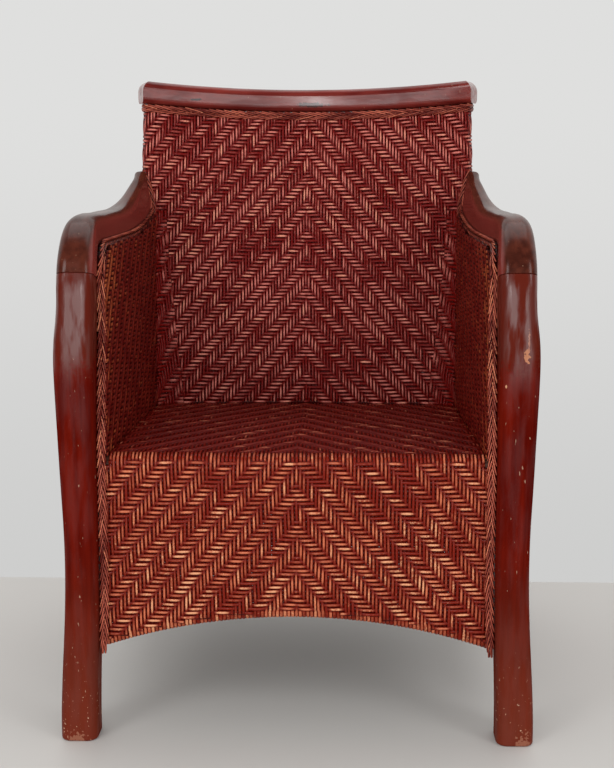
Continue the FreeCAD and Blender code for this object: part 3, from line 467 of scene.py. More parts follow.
def makeCaneGroup():
    marks = caneMarks
    group, start, end = newGroup("caneTone", {"Dark": "C", "Light": "C", "Worn": "C", "Gap": "C"},
                                 {"Color": "C", "Roughness": "F", "Height": "F"})
    coord = put(group, "ShaderNodeTexCoord").outputs["Object"]
    groove, tone, wear = (put(group, "ShaderNodeAttribute", attribute_name=title).outputs["Fac"]
                          for title in ("groove", "tone", "wear"))
    fine = noise(group, coord, marks["fine"])
    fleck = noise(group, coord, marks["fleck"], 2.0)
    broad = noise(group, coord, marks["broad"])
    # Crown: the top of each strand, which takes the light colour as a painted highlight and shows the wear
    crown = minus(group, 1.0, stepped(group, groove, *marks["crown"]))
    # Negative wear darkens the tone; in the hollow corners and the braid cores that is painted shade
    darker = calc(group, "MINIMUM", wear, 0.0)
    blend = sumOf(group, (tone, marks["toneShare"]), (broad, marks["broadShare"]), (darker, marks["darken"]),
                  (plus(group, fleck, fine), marks["fleckShare"]))
    blend = calc(group, "SUBTRACT", blend, marks["level"], True)
    lacquer = mixed(group, times(group, blend, crown), start["Dark"], start["Light"])
    # Positive wear brings the worn colour onto the crowns; under the arms it lays a painted patch of light
    rub = sumOf(group, (wear, 1.0), (minus(group, fine, 0.5), marks["rubFine"]),
                (minus(group, tone, 0.5), marks["rubTone"]))
    mask = times(group, stepped(group, rub, *marks["rub"]), crown)
    body = mixed(group, mask, lacquer, start["Worn"])
    rough = sumOf(group, (mask, marks["wornRough"]), (fine, marks["fineRough"]))
    # Deep in the grooves the colour turns to the gap colour, painted shadow between the strands
    group.links.new(mixed(group, stepped(group, groove, *marks["gap"]), body, start["Gap"]), end["Color"])
    group.links.new(rough, end["Roughness"])
    group.links.new(fine, end["Height"])
    return group


spotMarks = {"scale": 260.0, "detail": 5.0, "edge": (1.1, 0.8)}  # ragged rim of a worn spot


def makeSpotGroup():
    marks = spotMarks
    group, start, end = newGroup("scuffSpot", {"Centre": "V", "Size": "V", "Ragged": "F"}, {"Mask": "F"})
    coord = put(group, "ShaderNodeTexCoord").outputs["Object"]
    away = vector(group, "SUBTRACT", coord, start["Centre"])[0]
    reach = vector(group, "LENGTH", vector(group, "DIVIDE", away, start["Size"])[0])["Value"]
    rim = minus(group, noise(group, coord, marks["scale"], marks["detail"]), 0.5)
    ragged = times(group, rim, start["Ragged"])
    group.links.new(stepped(group, plus(group, reach, ragged), *marks["edge"]), end["Mask"])
    return group


# Lacquered wood: noise scales, heights in metres over which feet, chips and shine change, and their shares
lacquerMarks = {"cloud": 9.0, "speck": 190.0, "grainShare": 0.7, "cloudShare": 0.5, "body": (0.4, 0.8),
                "foot": (0.30, 0.0), "footShare": 0.75, "chip": (0.66, 0.70), "chipHeight": (0.16, 0.005),
                "chipShare": 0.8, "nickDraw": (1.0, 1.0, 0.3), "nickScale": 300.0, "nick": (0.725, 0.76),
                "nickShare": 0.4, "grainRough": 0.16, "speckRough": 0.1, "brush": (0.6, 14.0),
                "streak": (0.36, 0.66), "streakMiddle": 0.55, "shineHeight": (0.48, 0.57), "shineLow": 0.16,
                "cloudRelief": 2.0, "streakRelief": 0.5, "bump": (0.16, 0.001), "specular": 0.0}


def makeLacquerGroup():
    marks = lacquerMarks
    inputs = {"Stretch": "V", "Deep": "C", "Warm": "C", "Foot": "C", "Bare": "C", "Streak": "F"}
    group, start, end = newGroup("lacquerTone", inputs,
                                 {"Color": "C", "Roughness": "F", "Height": "F", "Shine": "F"})
    coord = put(group, "ShaderNodeTexCoord").outputs["Object"]
    drawn = vector(group, "MULTIPLY", coord, start["Stretch"])[0]
    grain = noise(group, drawn, 1.0, 4.0)
    cloud = noise(group, coord, marks["cloud"])
    speck = noise(group, coord, marks["speck"], 4.0)
    height = put(group, "ShaderNodeSeparateXYZ", {0: coord}).outputs["Z"]
    blend = sumOf(group, (grain, marks["grainShare"]), (cloud, marks["cloudShare"]))
    body = mixed(group, stepped(group, blend, *marks["body"]), start["Deep"], start["Warm"])
    low = stepped(group, height, *marks["foot"])
    body = mixed(group, times(group, low, marks["footShare"]), body, start["Foot"])
    chip = times(group, stepped(group, speck, *marks["chip"]), stepped(group, height, *marks["chipHeight"]))
    body = mixed(group, times(group, chip, marks["chipShare"]), body, start["Bare"])
    long = vector(group, "MULTIPLY", coord, marks["nickDraw"])[0]
    nick = stepped(group, noise(group, long, marks["nickScale"], 2.0), *marks["nick"])
    alongGrain, broadly = marks["brush"]
    brushed = vector(group, "MULTIPLY", coord, (broadly,) * 3)[0]
    brushed = vector(group, "MULTIPLY_ADD", drawn, (alongGrain,) * 3, brushed)[0]
    streak = stepped(group, noise(group, brushed, 1.0, 3.0), *marks["streak"])
    streak = times(group, minus(group, streak, marks["streakMiddle"]), start["Streak"])
    kept = lifted(group, stepped(group, height, *marks["shineHeight"]), marks["shineLow"])
    rough = sumOf(group, (grain, marks["grainRough"]), (speck, marks["speckRough"]))
    relief = sumOf(group, (grain, 1.0), (cloud, marks["cloudRelief"]), (streak, marks["streakRelief"]))
    group.links.new(mixed(group, times(group, nick, marks["nickShare"]), body, start["Bare"]), end["Color"])
    group.links.new(rough, end["Roughness"])
    group.links.new(times(group, kept, plus(group, streak, 1.0)), end["Shine"])
    group.links.new(relief, end["Height"])
    return group


def makeCoated(name, group, marks, look):
    # Material with colour, roughness and relief from a node group that takes the look's values
    material, tree, shader = newMaterial(name)
    tone = put(tree, "ShaderNodeGroup", node_tree=group)
    for socket in tone.inputs:
        socket.default_value = look[socket.name.lower()]
    body = tone.outputs["Color"]
    for centre, size, ragged, shade in look.get("spots", []):
        spot = put(tree, "ShaderNodeGroup", node_tree=spotGroup)
        for key, value in (("Centre", centre), ("Size", size), ("Ragged", ragged)):
            spot.inputs[key].default_value = value
        body = mixed(tree, spot.outputs["Mask"], body, shade)
    tree.links.new(body, shader["Base Color"])
    tree.links.new(plus(tree, tone.outputs["Roughness"], look["rough"]), shader["Roughness"])
    strength, distance = marks["bump"]
    relief = {"Strength": strength, "Distance": distance, "Height": tone.outputs["Height"]}
    normal = put(tree, "ShaderNodeBump", relief).outputs["Normal"]
    tree.links.new(normal, shader["Normal"])
    shader["Specular IOR Level"].default_value = marks["specular"]
    shader["Coat Roughness"].default_value = look["gloss"]
    if "Shine" in tone.outputs:
        tree.links.new(normal, shader["Coat Normal"])
        shine = calc(tree, "MULTIPLY", tone.outputs["Shine"], look["coat"], True)
        tree.links.new(shine, shader["Coat Weight"])
    else:
        shader["Coat Weight"].default_value = look["coat"]
    return material


def makePlain(name, shade, roughness, metallic=0.0):
    material, _, shader = newMaterial(name)
    shader["Base Color"].default_value = shade
    shader["Roughness"].default_value = roughness
    shader["Metallic"].default_value = metallic
    return material


caneGroup = makeCaneGroup()
spotGroup = makeSpotGroup()
lacquerGroup = makeLacquerGroup()

# Cane looks: light is the painted highlight on each strand's crown, gap the painted shadow between strands
backLook = {"dark": tint(104, 13, 9), "light": tint(192, 108, 97), "worn": tint(206, 134, 110),
            "gap": tint(62, 2, 2), "rough": 0.26, "coat": 0.09, "gloss": 0.2}
skirtLook = {"dark": tint(110, 24, 10), "light": tint(184, 100, 70), "worn": tint(208, 146, 108),
             "gap": tint(68, 8, 4), "rough": 0.26, "coat": 0.12, "gloss": 0.2}
# The seat's cane is darker than the back's, partly its own darker finish and partly painted shade from the
# arms and back
seatShadedLook = {"dark": tint(86, 10, 5), "light": tint(112, 27, 18), "worn": tint(176, 104, 78),
            "gap": tint(74, 7, 4), "rough": 0.24, "coat": 0.06, "gloss": 0.2}
# The inner sides' cane is a darker copy of the back's cane: painted shade under the arms
sideShadedLook = {"dark": tint(82, 9, 6), "light": tint(128, 40, 26), "worn": tint(166, 88, 48),
            "gap": tint(50, 6, 4), "rough": 0.28, "coat": 0.08, "gloss": 0.2}
braidLook = {"dark": tint(84, 20, 15), "light": tint(168, 84, 66), "worn": tint(200, 122, 90),
             "gap": tint(38, 5, 4), "rough": 0.24, "coat": 0.14, "gloss": 0.2}
backCane = makeCoated("backCane", caneGroup, caneMarks, backLook)
skirtCane = makeCoated("skirtCane", caneGroup, caneMarks, skirtLook)
seatShadedCane = makeCoated("seatShadedCane", caneGroup, caneMarks, seatShadedLook)
sideShadedCane = makeCoated("sideShadedCane", caneGroup, caneMarks, sideShadedLook)
braidCane = makeCoated("braidCane", caneGroup, caneMarks, braidLook)

# Spots: centre and size in metres, raggedness and colour
legLook = {"deep": tint(70, 8, 4), "warm": tint(95, 18, 8), "foot": tint(104, 46, 32),
           "bare": tint(200, 166, 140), "stretch": (120.0, 120.0, 5.0), "rough": 0.22, "coat": 0.8,
           "gloss": 0.28, "streak": 1.8,
           "spots": [((-0.281, -0.303, 0.61), (0.07, 0.07, 0.10), 0.9, tint(84, 28, 19)),
                     ((0.281, -0.303, 0.61), (0.07, 0.07, 0.10), 0.9, tint(84, 28, 19)),
                     ((0.293, -0.303, 0.531), (0.0030, 0.02, 0.009), 4.0, tint(160, 100, 66)),
                     ((0.295, -0.303, 0.552), (0.0012, 0.02, 0.010), 4.0, tint(140, 84, 62)),
                     ((0.268, -0.303, 0.492), (0.0012, 0.02, 0.0024), 1.8, tint(180, 130, 98)),
                     ((-0.296, -0.303, 0.002), (0.010, 0.03, 0.010), 6.0, tint(132, 82, 64)),
                     ((0.306, -0.303, 0.004), (0.008, 0.03, 0.013), 6.0, tint(132, 82, 64))]}
armLook = {"deep": tint(54, 19, 11), "warm": tint(80, 34, 22), "foot": tint(80, 34, 22),
           "bare": tint(190, 150, 120), "stretch": (110.0, 6.0, 110.0), "rough": 0.22, "coat": 0.6,
           "gloss": 0.22, "streak": 0.12,
           # The arms' inner faces get a lighter red than their fronts: painted light
           "spots": [((x, 0.0, 0.68), (0.0165, 0.5, 0.5), 0.15, tint(112, 42, 36)) for x in (-0.25, 0.25)]}
crestLook = {"deep": tint(86, 22, 19), "warm": tint(118, 42, 36), "foot": tint(118, 42, 36),
             "bare": tint(190, 150, 120), "stretch": (5.0, 110.0, 110.0), "rough": 0.22, "coat": 1.0,
             "gloss": 0.16, "streak": 0.6,
             "spots": [((-0.183, 0.225, 0.876), (0.010, 0.03, 0.0022), 1.6, tint(40, 10, 10)),
                       ((0.008, 0.25, 0.868), (0.028, 0.03, 0.004), 2.0, tint(56, 16, 14))]}
legWood = makeCoated("legLacquer", lacquerGroup, lacquerMarks, legLook)
armWood = makeCoated("armLacquer", lacquerGroup, lacquerMarks, armLook)
crestWood = makeCoated("crestLacquer", lacquerGroup, lacquerMarks, crestLook)
frameWood = makePlain("frameWood", tint(92, 46, 30), 0.6)
rattanPole = makePlain("rattanPole", tint(92, 40, 24), 0.45)
dowelWood = makePlain("dowelWood", tint(98, 46, 30), 0.6)
screwSteel = makePlain("screwSteel", tint(170, 168, 164), 0.35, 1.0)
print("materials made")


def dress(material, *names):
    for name in names:
        mesh = nodes[name].data
        mesh.materials.clear()
        mesh.materials.append(material)


for side in sideNames.values():
    dress(legWood, side + "_front_leg", side + "_rear_leg")
    dress(armWood, side + "_arm")
    dress(frameWood, side + "_side_seat_rail", side + "_front_corner_block", side + "_rear_corner_block")
    dress(rattanPole, side + "_side_arch_rail", side + "_side_upright_1", side + "_side_upright_2")
dress(crestWood, "crest_rail")
dress(frameWood, "front_seat_rail", "rear_seat_rail")
dress(rattanPole, "front_arch_rail", "rear_arch_rail")
dress(rattanPole, *("seat_slat_%d" % k for k in range(1, 5)), *("back_stave_%d" % k for k in range(1, 6)))
dress(dowelWood, "rail_dowels", "arm_dowels", "crest_dowels")
dress(screwSteel, "block_screws")
print("frame dressed")

# Woven back, front and rear
backWeave = {"columns": 57, "rows": 81, "rowWidth": 5.0, "columnWidth": 4.3, "spread": 0.42, "thick": 2.0,
             "lift": 1.05, "rowWear": 0.0, "floatWear": 0.26, "stray": 0.25, "overTop": 6.0, "endGap": 1.0,
             "wear": 0.3, "rub": (0.16, 700.0, 130.0)}


def weaveBack(front):
    look = backWeave
    n = look["columns"]
    rows = look["rows"]
    topZ = chair["crestBottom"] + look["overTop"]
    lowX, lowV = backPlan(seatBackZ, chair["inset"], front, n)
    highX, highV = backPlan(topZ, chair["inset"], front, n)
    w = (np.arange(rows) + 0.5) / rows
    upper = crestUnder(highX) - look["endGap"]
    z = upper[:, None] * (1 - w) + (seatBackZ - look["endGap"]) * w
    t = (z - seatBackZ) / (topZ - seatBackZ)
    x = lowX[:, None] * (1 - t) + highX[:, None] * t
    points = place(x, lowV[:, None] * (1 - t) + highV[:, None] * t, z)
    normals = gridNormals(points, (0, -1 if front else 1, 0))
    phase = np.arange(rows)[None, :] - np.abs(np.arange(-n, n + 1))[:, None]
    keep = np.ones(phase.shape, bool)
    rub, middle, spread = look["rub"]
    wear = rng.uniform(0.0, look["wear"], phase.shape) + rub * hump(z, middle, spread)
    title = "back_front" if front else "back_rear"
    node = "back_weave_front" if front else "back_weave_rear"
    ring = ringSix if front else ringFour
    weavePanel(title, node, backCane, ring, points, normals, keep, phase, wear, look)


weaveBack(True)
weaveBack(False)

# Seat that rolls over its front edge and hangs as the skirt; rubs are amount, x, its spread, z and its spread
seatWeave = {"pitch": 5.12, "rowPitch": 6.1, "rowWidth": 5.0, "columnWidth": 4.3, "spread": 0.42,
             "thick": 2.0, "lift": 1.05, "rowWear": 0.1, "floatWear": 0.34, "stray": 0.25,
             "seatColumns": 48, "skirtColumns": 50, "skirtRows": 46, "firstRow": -1.0, "skirtHalf": 259.3,
             "backGap": 2.0, "wear": 0.12, "hemWear": 0.1, "hemFade": 140.0,
             "rubs": [(0.28, -165.0, 90.0, 200.0, 70.0), (0.28, 160.0, 80.0, 250.0, 90.0)],
             "overEdge": (-3.0, 0.7), "edgeFloat": 5, "edgeDark": 0.55, "edgeRub": 0.7, "edgeRubbed": 0.28,
             "rubAt": 0.35, "edgeSpread": 8.0}


def weaveSeat():
    look = seatWeave
    inset = chair["inset"]
    rollV = chair["frontV"] + chair["edgeRadius"]
    rollZ = seatZ(rollV) - chair["edgeRadius"]
    r = chair["edgeRadius"] - inset
    arc = r * math.pi / 2
    i = np.arange(-look["skirtColumns"], look["skirtColumns"] + 1)[:, None]
    x = i * look["pitch"]
    seatRows = int((seatBackV - rollV) / look["rowPitch"])
    j = np.arange(seatRows + look["skirtRows"])
    s = (j - seatRows) * look["rowPitch"] + look["firstRow"]
    onSeat = s < 0
    turn = np.clip(s / r, 0, math.pi / 2)
    v = np.where(s < arc, rollV - r * np.sin(turn), chair["frontV"] + inset)
    v = np.where(onSeat, rollV - s, v)
    z = np.where(s < arc, rollZ + r * np.cos(turn), rollZ - (s - arc))
    z = np.where(onSeat, seatZ(rollV - s) - inset, z)
    points = place(x, v, z)
    normals = np.zeros_like(points)
    normals[..., 1] = -np.sin(turn)
    normals[..., 2] = np.cos(turn)
    arch = skirtArch(x, look["skirtHalf"])
    inSeat = np.abs(i) <= look["seatColumns"]
    seatKeep = inSeat & (v < backFace(x, seatBackZ) - look["backGap"])
    keep = np.where(onSeat, seatKeep, z > arch + chair["hemRise"]) & (inSeat | (s > arc))
    edgeStart, edgeEnd = look["overEdge"]
    overEdge = (s > edgeStart) & (s < arc * edgeEnd)
    # Over the front edge the columns lie on top all the way
    phase = np.where(overEdge, look["edgeFloat"], j - np.abs(i))
    aboveHem = np.clip((z - arch) / look["hemFade"], 0, 1)
    wear = rng.uniform(0.0, look["wear"], phase.shape)
    wear = wear + np.where(onSeat, 0.0, look["hemWear"] * (1 - aboveHem))
    for rub, rubX, spreadX, rubZ, spreadZ in look["rubs"]:
        wear = wear + rub * hump(x, rubX, spreadX) * hump(z, rubZ, spreadZ) * ~onSeat
    rubbed = rng.uniform(0, 1, i.shape) > 1 - look["edgeRubbed"]
    wear = wear + look["edgeRub"] * rubbed * hump(s, arc * look["rubAt"], look["edgeSpread"])
    wear = wear - look["edgeDark"] * overEdge
    tails = railTails(points, normals, keep, arch[:, 0])
    node = "seat_and_skirt_weave"
    weavePanel("skirt", node, skirtCane, ringSix, points, normals, keep & ~onSeat, phase, wear, look, tails)
    # The seat reaches one row on to the roll
    reachOver = keep & (j <= np.flatnonzero(onSeat)[-1] + 1) & inSeat
    weavePanel("seat", node, seatShadedCane, ringSix, points, normals, reachOver, phase, wear, look)


weaveSeat()

# Inner sides: they turn into the back through a soft hollow that widens towards the seat.
# frontRub is amount, depth and its spread; armLitPatch, a painted patch of light under the arm, is depth and
# its spread, height and its spread.
innerWeave = {"columns": 95, "rowPitch": 6.1, "rowWidth": 5.2, "columnWidth": 4.5, "spread": 0.36,
              "thick": 2.0, "lift": 1.05, "rowWear": 0.0, "floatWear": 0.12, "stray": 0.3, "frontV": 20.0,
              "firstRow": -3.0, "topZ": 742.0, "seatSink": 6.0, "behindBraid": 8.0, "edgeGap": 1.0,
              "coves": (42.0, 14.0), "coveColumns": (10, 4), "coveTop": 660.0, "coveShade": (0.2, 0.7),
              "wear": 0.3, "frontRub": (0.3, 40.0, 60.0), "armLitPatch": (60.0, 100.0, 640.0, 70.0),
              "armLitPatches": {-1: 0.5, 1: 0.3}}
panelFront = {"low": 19.7, "high": 42.0, "from": 390.0, "over": 190.0}


def panelEdge(z):
    # Depth of the inner panel's front edge, beside the skirt first and behind the leg higher up
    return ease(panelFront["low"], panelFront["high"], (z - panelFront["from"]) / panelFront["over"])


def weaveInner(sign):
    look = innerWeave
    z = np.arange(seatBackZ + look["firstRow"], look["topZ"], look["rowPitch"])
    n = look["columns"]
    face = chair["seatHalf"] + chair["inset"]
    coveSpan = [seatBackZ, look["coveTop"]]
    t = np.linspace(0, math.pi / 2, 12)
    x = np.zeros((n + 1, len(z)))
    v = np.zeros_like(x)
    for index, level in enumerate(z):
        cove = np.interp(level, coveSpan, look["coves"])
        meet = backFace(face - cove, level) - chair["inset"]
        line = np.stack([np.append(face, face - cove * (1 - np.cos(t))),
                         np.append(look["frontV"], meet - cove + cove * np.sin(t))], axis=-1)
        run = runAlong(line)
        at = np.linspace(0, run[-1], n + 1)
        x[:, index], v[:, index] = np.interp(at, run, line[:, 0]), np.interp(at, run, line[:, 1])
    points = place(sign * x, v, np.broadcast_to(z, x.shape))
    normals = gridNormals(points, (-sign, 0, 0))
    top = np.minimum(bendUnder(v, chair["braidBend"]), armUnder(v, -look["behindBraid"]))
    keep = (z < top) & (z > seatZ(v) - look["seatSink"]) & (v > panelEdge(z) + look["edgeGap"])
    i = np.arange(n + 1)[:, None]
    phase = np.arange(len(z))[None, ::-1] + i
    rub, rubV, spreadV = look["frontRub"]
    wear = rng.uniform(0.0, look["wear"], x.shape) + rub * hump(v, rubV, spreadV)
    # A painted patch of light under each arm, stronger on the left, laid on with the worn colour
    rubV, spreadV, rubZ, spreadZ = look["armLitPatch"]
    wear = wear + look["armLitPatches"][sign] * hump(v, rubV, spreadV) * hump(z, rubZ, spreadZ)
    # The hollow corner has the back's cane, with painted shade that deepens towards the side
    fromBack = (n - i) / np.interp(z, coveSpan, look["coveColumns"])
    inCove = fromBack < 1
    dark, darker = look["coveShade"]
    wear = wear - np.where(inCove, dark + darker * fromBack, 0)
    side = sideNames[sign]
    node = side + "_inner_side_weave"
    for title, part, cane in (("_inner", keep & ~inCove, sideShadedCane), ("_cove", keep & inCove, backCane)):
        weavePanel(side + title, node, cane, ringFour, points, normals, part, phase, wear, look)


# Outer sides, from the leg to the rear edge of the back
outerWeave = {"pitch": 5.4, "rowPitch": 6.1, "rowWidth": 5.3, "columnWidth": 4.9, "spread": 0.42,
              "thick": 2.0, "lift": 1.05, "rowWear": 0.05, "floatWear": 0.16, "stray": 0.3, "slope": 0.0403,
              "archRise": 26.0, "archFront": 50.0, "frontV": 53.0, "topZ": 738.0, "topGap": 2.5,
              "lastGap": 2.0, "rearGap": 2.0, "sideGap": 1.0, "wear": 0.34}


def postShift(z):
    # How far the rear posts sweep back below the seat
    lean = (chair["backLean"] - chair["topHollow"] + chair["seatHollow"]) / backRise
    s = np.maximum(seatBackZ - z, 0)
    half, middle, radius, depth = backLevel(seatBackZ)
    r = radius + depth / 2
    postIn = chair["weave"] + chair["fitGap"] + chair["postWidth"] / 2
    seatV = middle - radius + r * math.cos(math.asin(half / radius) - postIn / r)
    blend = chair["rakeBlend"]
    footV = chair["depth"] - chair["rearFootSet"] - chair["postFoot"] / 2
    rake = (footV - seatV + lean * blend / 2) / (seatBackZ - blend / 2)
    t = np.minimum(s, blend)
    return (rake + lean) * t * t / (2 * blend) - lean * t + rake * (s - t)


def rearEdge(z):
    half, middle, radius, depth = backLevel(z)
    face = middle - radius + (radius + depth) * np.sqrt(1 - (half / radius) ** 2)
    return face + postShift(z) - outerWeave["rearGap"]


def sideEdge(z):
    return backFace(backLevel(z)[0], z) + chair["edgeRound"] - outerWeave["sideGap"]


def weaveOuter(sign):
    look = outerWeave
    # Columns fan out, so that the panel follows the back above the seat and the rear post below it
    z = np.arange(look["topZ"], chair["archSide"] + look["lastGap"], -look["rowPitch"])
    start = look["frontV"]
    backColumn = round((sideEdge(seatBackZ) - start) / look["pitch"])
    pitch = (sideEdge(seatBackZ) - start) / backColumn
    lastColumn = int((rearEdge(seatBackZ) - start) / pitch)
    i = np.arange(lastColumn + 1)[:, None]
    above = (sideEdge(z) - sideEdge(seatBackZ)) / backColumn
    below = (rearEdge(z) - rearEdge(seatBackZ)) / lastColumn
    v = start + i * (pitch + np.where(z > seatBackZ, above, below))
    x = outerFace - chair["inset"] - look["slope"] * (z - seatBackZ)
    points = place(sign * x[None, :], v, z[None, :])
    normals = gridNormals(points, (sign, 0, 0))
    top = np.minimum(bendUnder(v, bendInner), armUnder(v, chair["fitGap"])) - look["topGap"]
    span = 0.5 * (rearEdge(chair["archSide"]) - look["archFront"])
    rise = look["archRise"]
    arch = archCurve(v - look["archFront"] - span, span, chair["archSide"] + rise, rise)
    keep = (z < top) & (z > arch + chair["hemRise"]) & ((i <= backColumn) | (z < seatBackZ))
    phase = np.arange(len(z))[None, :] - np.abs(i - lastColumn // 2)
    wear = rng.uniform(0.0, look["wear"], keep.shape)
    tails = railTails(points, normals, keep, arch[:, -6])
    side = sideNames[sign]
    weavePanel(side + "_outer", side + "_outer_side_weave", backCane, ringFour, points, normals, keep, phase,
               wear, look, tails)


for sign in sideNames:
    weaveInner(sign)
    weaveOuter(sign)

# Rear skirt under the back
rearWeave = {"columns": 55, "rowPitch": 6.1, "rowWidth": 5.3, "columnWidth": 4.9, "spread": 0.42,
             "thick": 2.0, "lift": 1.05, "rowWear": 0.05, "floatWear": 0.16, "stray": 0.3,
             "firstRow": -3.0, "archHalf": 285.0, "edgeGap": 3.0, "wear": 0.34}


def weaveRearSkirt():
    look = rearWeave
    z = np.arange(seatBackZ + look["firstRow"], chair["archSide"], -look["rowPitch"])
    n = look["columns"]
    i = np.arange(-n, n + 1)[:, None]
    middle, radius, depth = backLevel(seatBackZ)[1:]
    outer = radius + depth
    r = outer - chair["inset"]
    turn = (np.arcsin(np.minimum(1.0, backLevel(z)[0] / radius)) * radius - look["edgeGap"]) / outer
    angle = turn * i / n
    x = r * np.sin(angle)
    points = place(x, middle - radius + r * np.cos(angle) + postShift(z), np.broadcast_to(z, x.shape))
    normals = gridNormals(points, (0, 1, 0))
    arch = skirtArch(x, look["archHalf"])
    keep = z > arch + chair["hemRise"]
    phase = np.arange(len(z))[None, :] - np.abs(i)
    wear = rng.uniform(0.0, look["wear"], keep.shape)
    tails = railTails(points, normals, keep, arch[:, -4])
    weavePanel("rear_skirt", "rear_skirt_weave", backCane, ringFour, points, normals, keep, phase, wear,
               rearWeave, tails)


weaveRearSkirt()
print("weave made")

# Braids like ears of wheat: long leaves that leave the middle by turns and lie over a core, made dark with
# painted shadow.
# The core's sizes are shares of the braid's width and depth.
wheatLook = {"coreSteps": 3, "coreDrop": 1.4, "coreWidth": 0.7, "coreDepth": 1.7, "coreShade": -0.4,
             "coreShadow": 0.64, "headShift": 0.6, "ahead": 0.3, "reach": (-0.1, 0.53), "tilt": 0.7,
             "girths": (0.85, 1.1), "wear": 0.34}


def resample(points, step):
    run = runAlong(points)
    at = np.linspace(0, run[-1], int(run[-1] / step) + 1)
    return np.stack([np.interp(at, run, points[:, k]) for k in range(3)], axis=-1), at


def wheatBraid(title, node, ring, line, run, facing, width, look, worn):
    braidSet = StrandSet(ring)
    width, worn = np.broadcast_to(width, run.shape), np.broadcast_to(worn, run.shape)
    along = unit(np.gradient(line, axis=0))
    facing = unit(facing - along * np.sum(facing * along, axis=1, keepdims=True))
    across = np.cross(along, facing)

    def at(s, values):
        return np.stack([np.interp(s, run, values[:, k]) for k in range(3)], axis=-1)

    # The core under the leaves is coloured with painted shadow
    core = line - facing * (look["depth"] * wheatLook["coreDrop"] * mm)
    inner = slice(wheatLook["coreSteps"], -wheatLook["coreSteps"])
    braidSet.add(core[inner], facing[inner], width[inner] * wheatLook["coreWidth"],
                 look["depth"] * wheatLook["coreDepth"], 0.0, wheatLook["coreShade"], wheatLook["coreShadow"])
    t = np.linspace(0, 1, 8)
    high = look["depth"] * (np.sin(math.pi * (0.06 + 0.84 * t)) * 1.5 - 0.75)
    slim = np.minimum(1, 0.55 + 1.6 * t * (1.25 - t))
    inside, outside = wheatLook["reach"]
    for k in range(int(run[-1] / mm / look["spacing"])):
        flank = 1 if k % 2 else -1
        head = ((k + 0.5) * look["spacing"] + rng.normal(0, wheatLook["headShift"])) * mm
        s = np.clip(head + (wheatLook["ahead"] - t) * look["leaf"] * mm, 0, run[-1])
        wide = np.interp(s, run, width)
        cross = flank * wide * (inside + outside * t ** 0.85)
        up = unit(at(s, facing))
        centre = at(s, line) + (at(s, across) * cross[:, None] + up * high[:, None]) * mm
        tilt = unit(up + at(s, across) * (flank * wheatLook["tilt"] * t)[:, None])
        girth = look["cane"] * rng.uniform(*wheatLook["girths"]) * slim
        braidSet.add(centre, tilt, girth * wide / look["footWidth"], look["thick"], rng.uniform(0, 1),
                     np.interp(s, run, worn) + rng.uniform(0, wheatLook["wear"]))
    braidSet.build(title, braidCane, node, "braided_cane")


# Widths are listed by metres from the foot and from the tip; turn is the height and run in metres over which
# the braid turns from the leg's front to the arm's inner face
edgeBraid = {"leaf": 30.0, "spacing": 6.0, "cane": 3.1, "thick": 2.0, "depth": 2.4, "step": 4.0,
             "footWidth": 13.0, "footWidths": [(0.0, 6.0), (0.016, 13.0), (0.40, 13.0), (0.55, 11.0)],
             "tipWidths": [(0.10, 11.0), (0.03, 16.0), (0.0, 13.0)], "belowArch": 6.0, "fromLeg": 6.0,
             "fromBend": 3.6, "closeRun": 66.0, "fromArm": 3.8, "fromEdge": 8.0, "widen": (36.0, 72.0),
             "riseShare": 0.86, "tipRise": 3.0, "tipLean": 4.0, "tipSlope": 0.9, "fromBack": 5.4,
             "turn": (0.615, 0.045), "tipTurn": (0.10, 0.06), "wear": 0.08, "kneeRub": (0.2, 0.42, 0.12),
             "outerGap": 5.0, "outerV": 57.8, "outerTop": 598.0, "outerUnder": 7.8}


def edgeRoute(sign, parts):
    x, v, z = np.concatenate([np.stack(np.broadcast_arrays(*part)) for part in parts], axis=1)
    return resample(place(sign * x, v, z), edgeBraid["step"] * mm)


def riseLine(turn, down):
    # Depth and height on the arm's rise, below its middle
    return (riseStart + (riseRadius + down) * np.sin(turn),
            chair["armLevel"] + riseRadius * (1 - np.cos(turn)) - down * np.cos(turn))


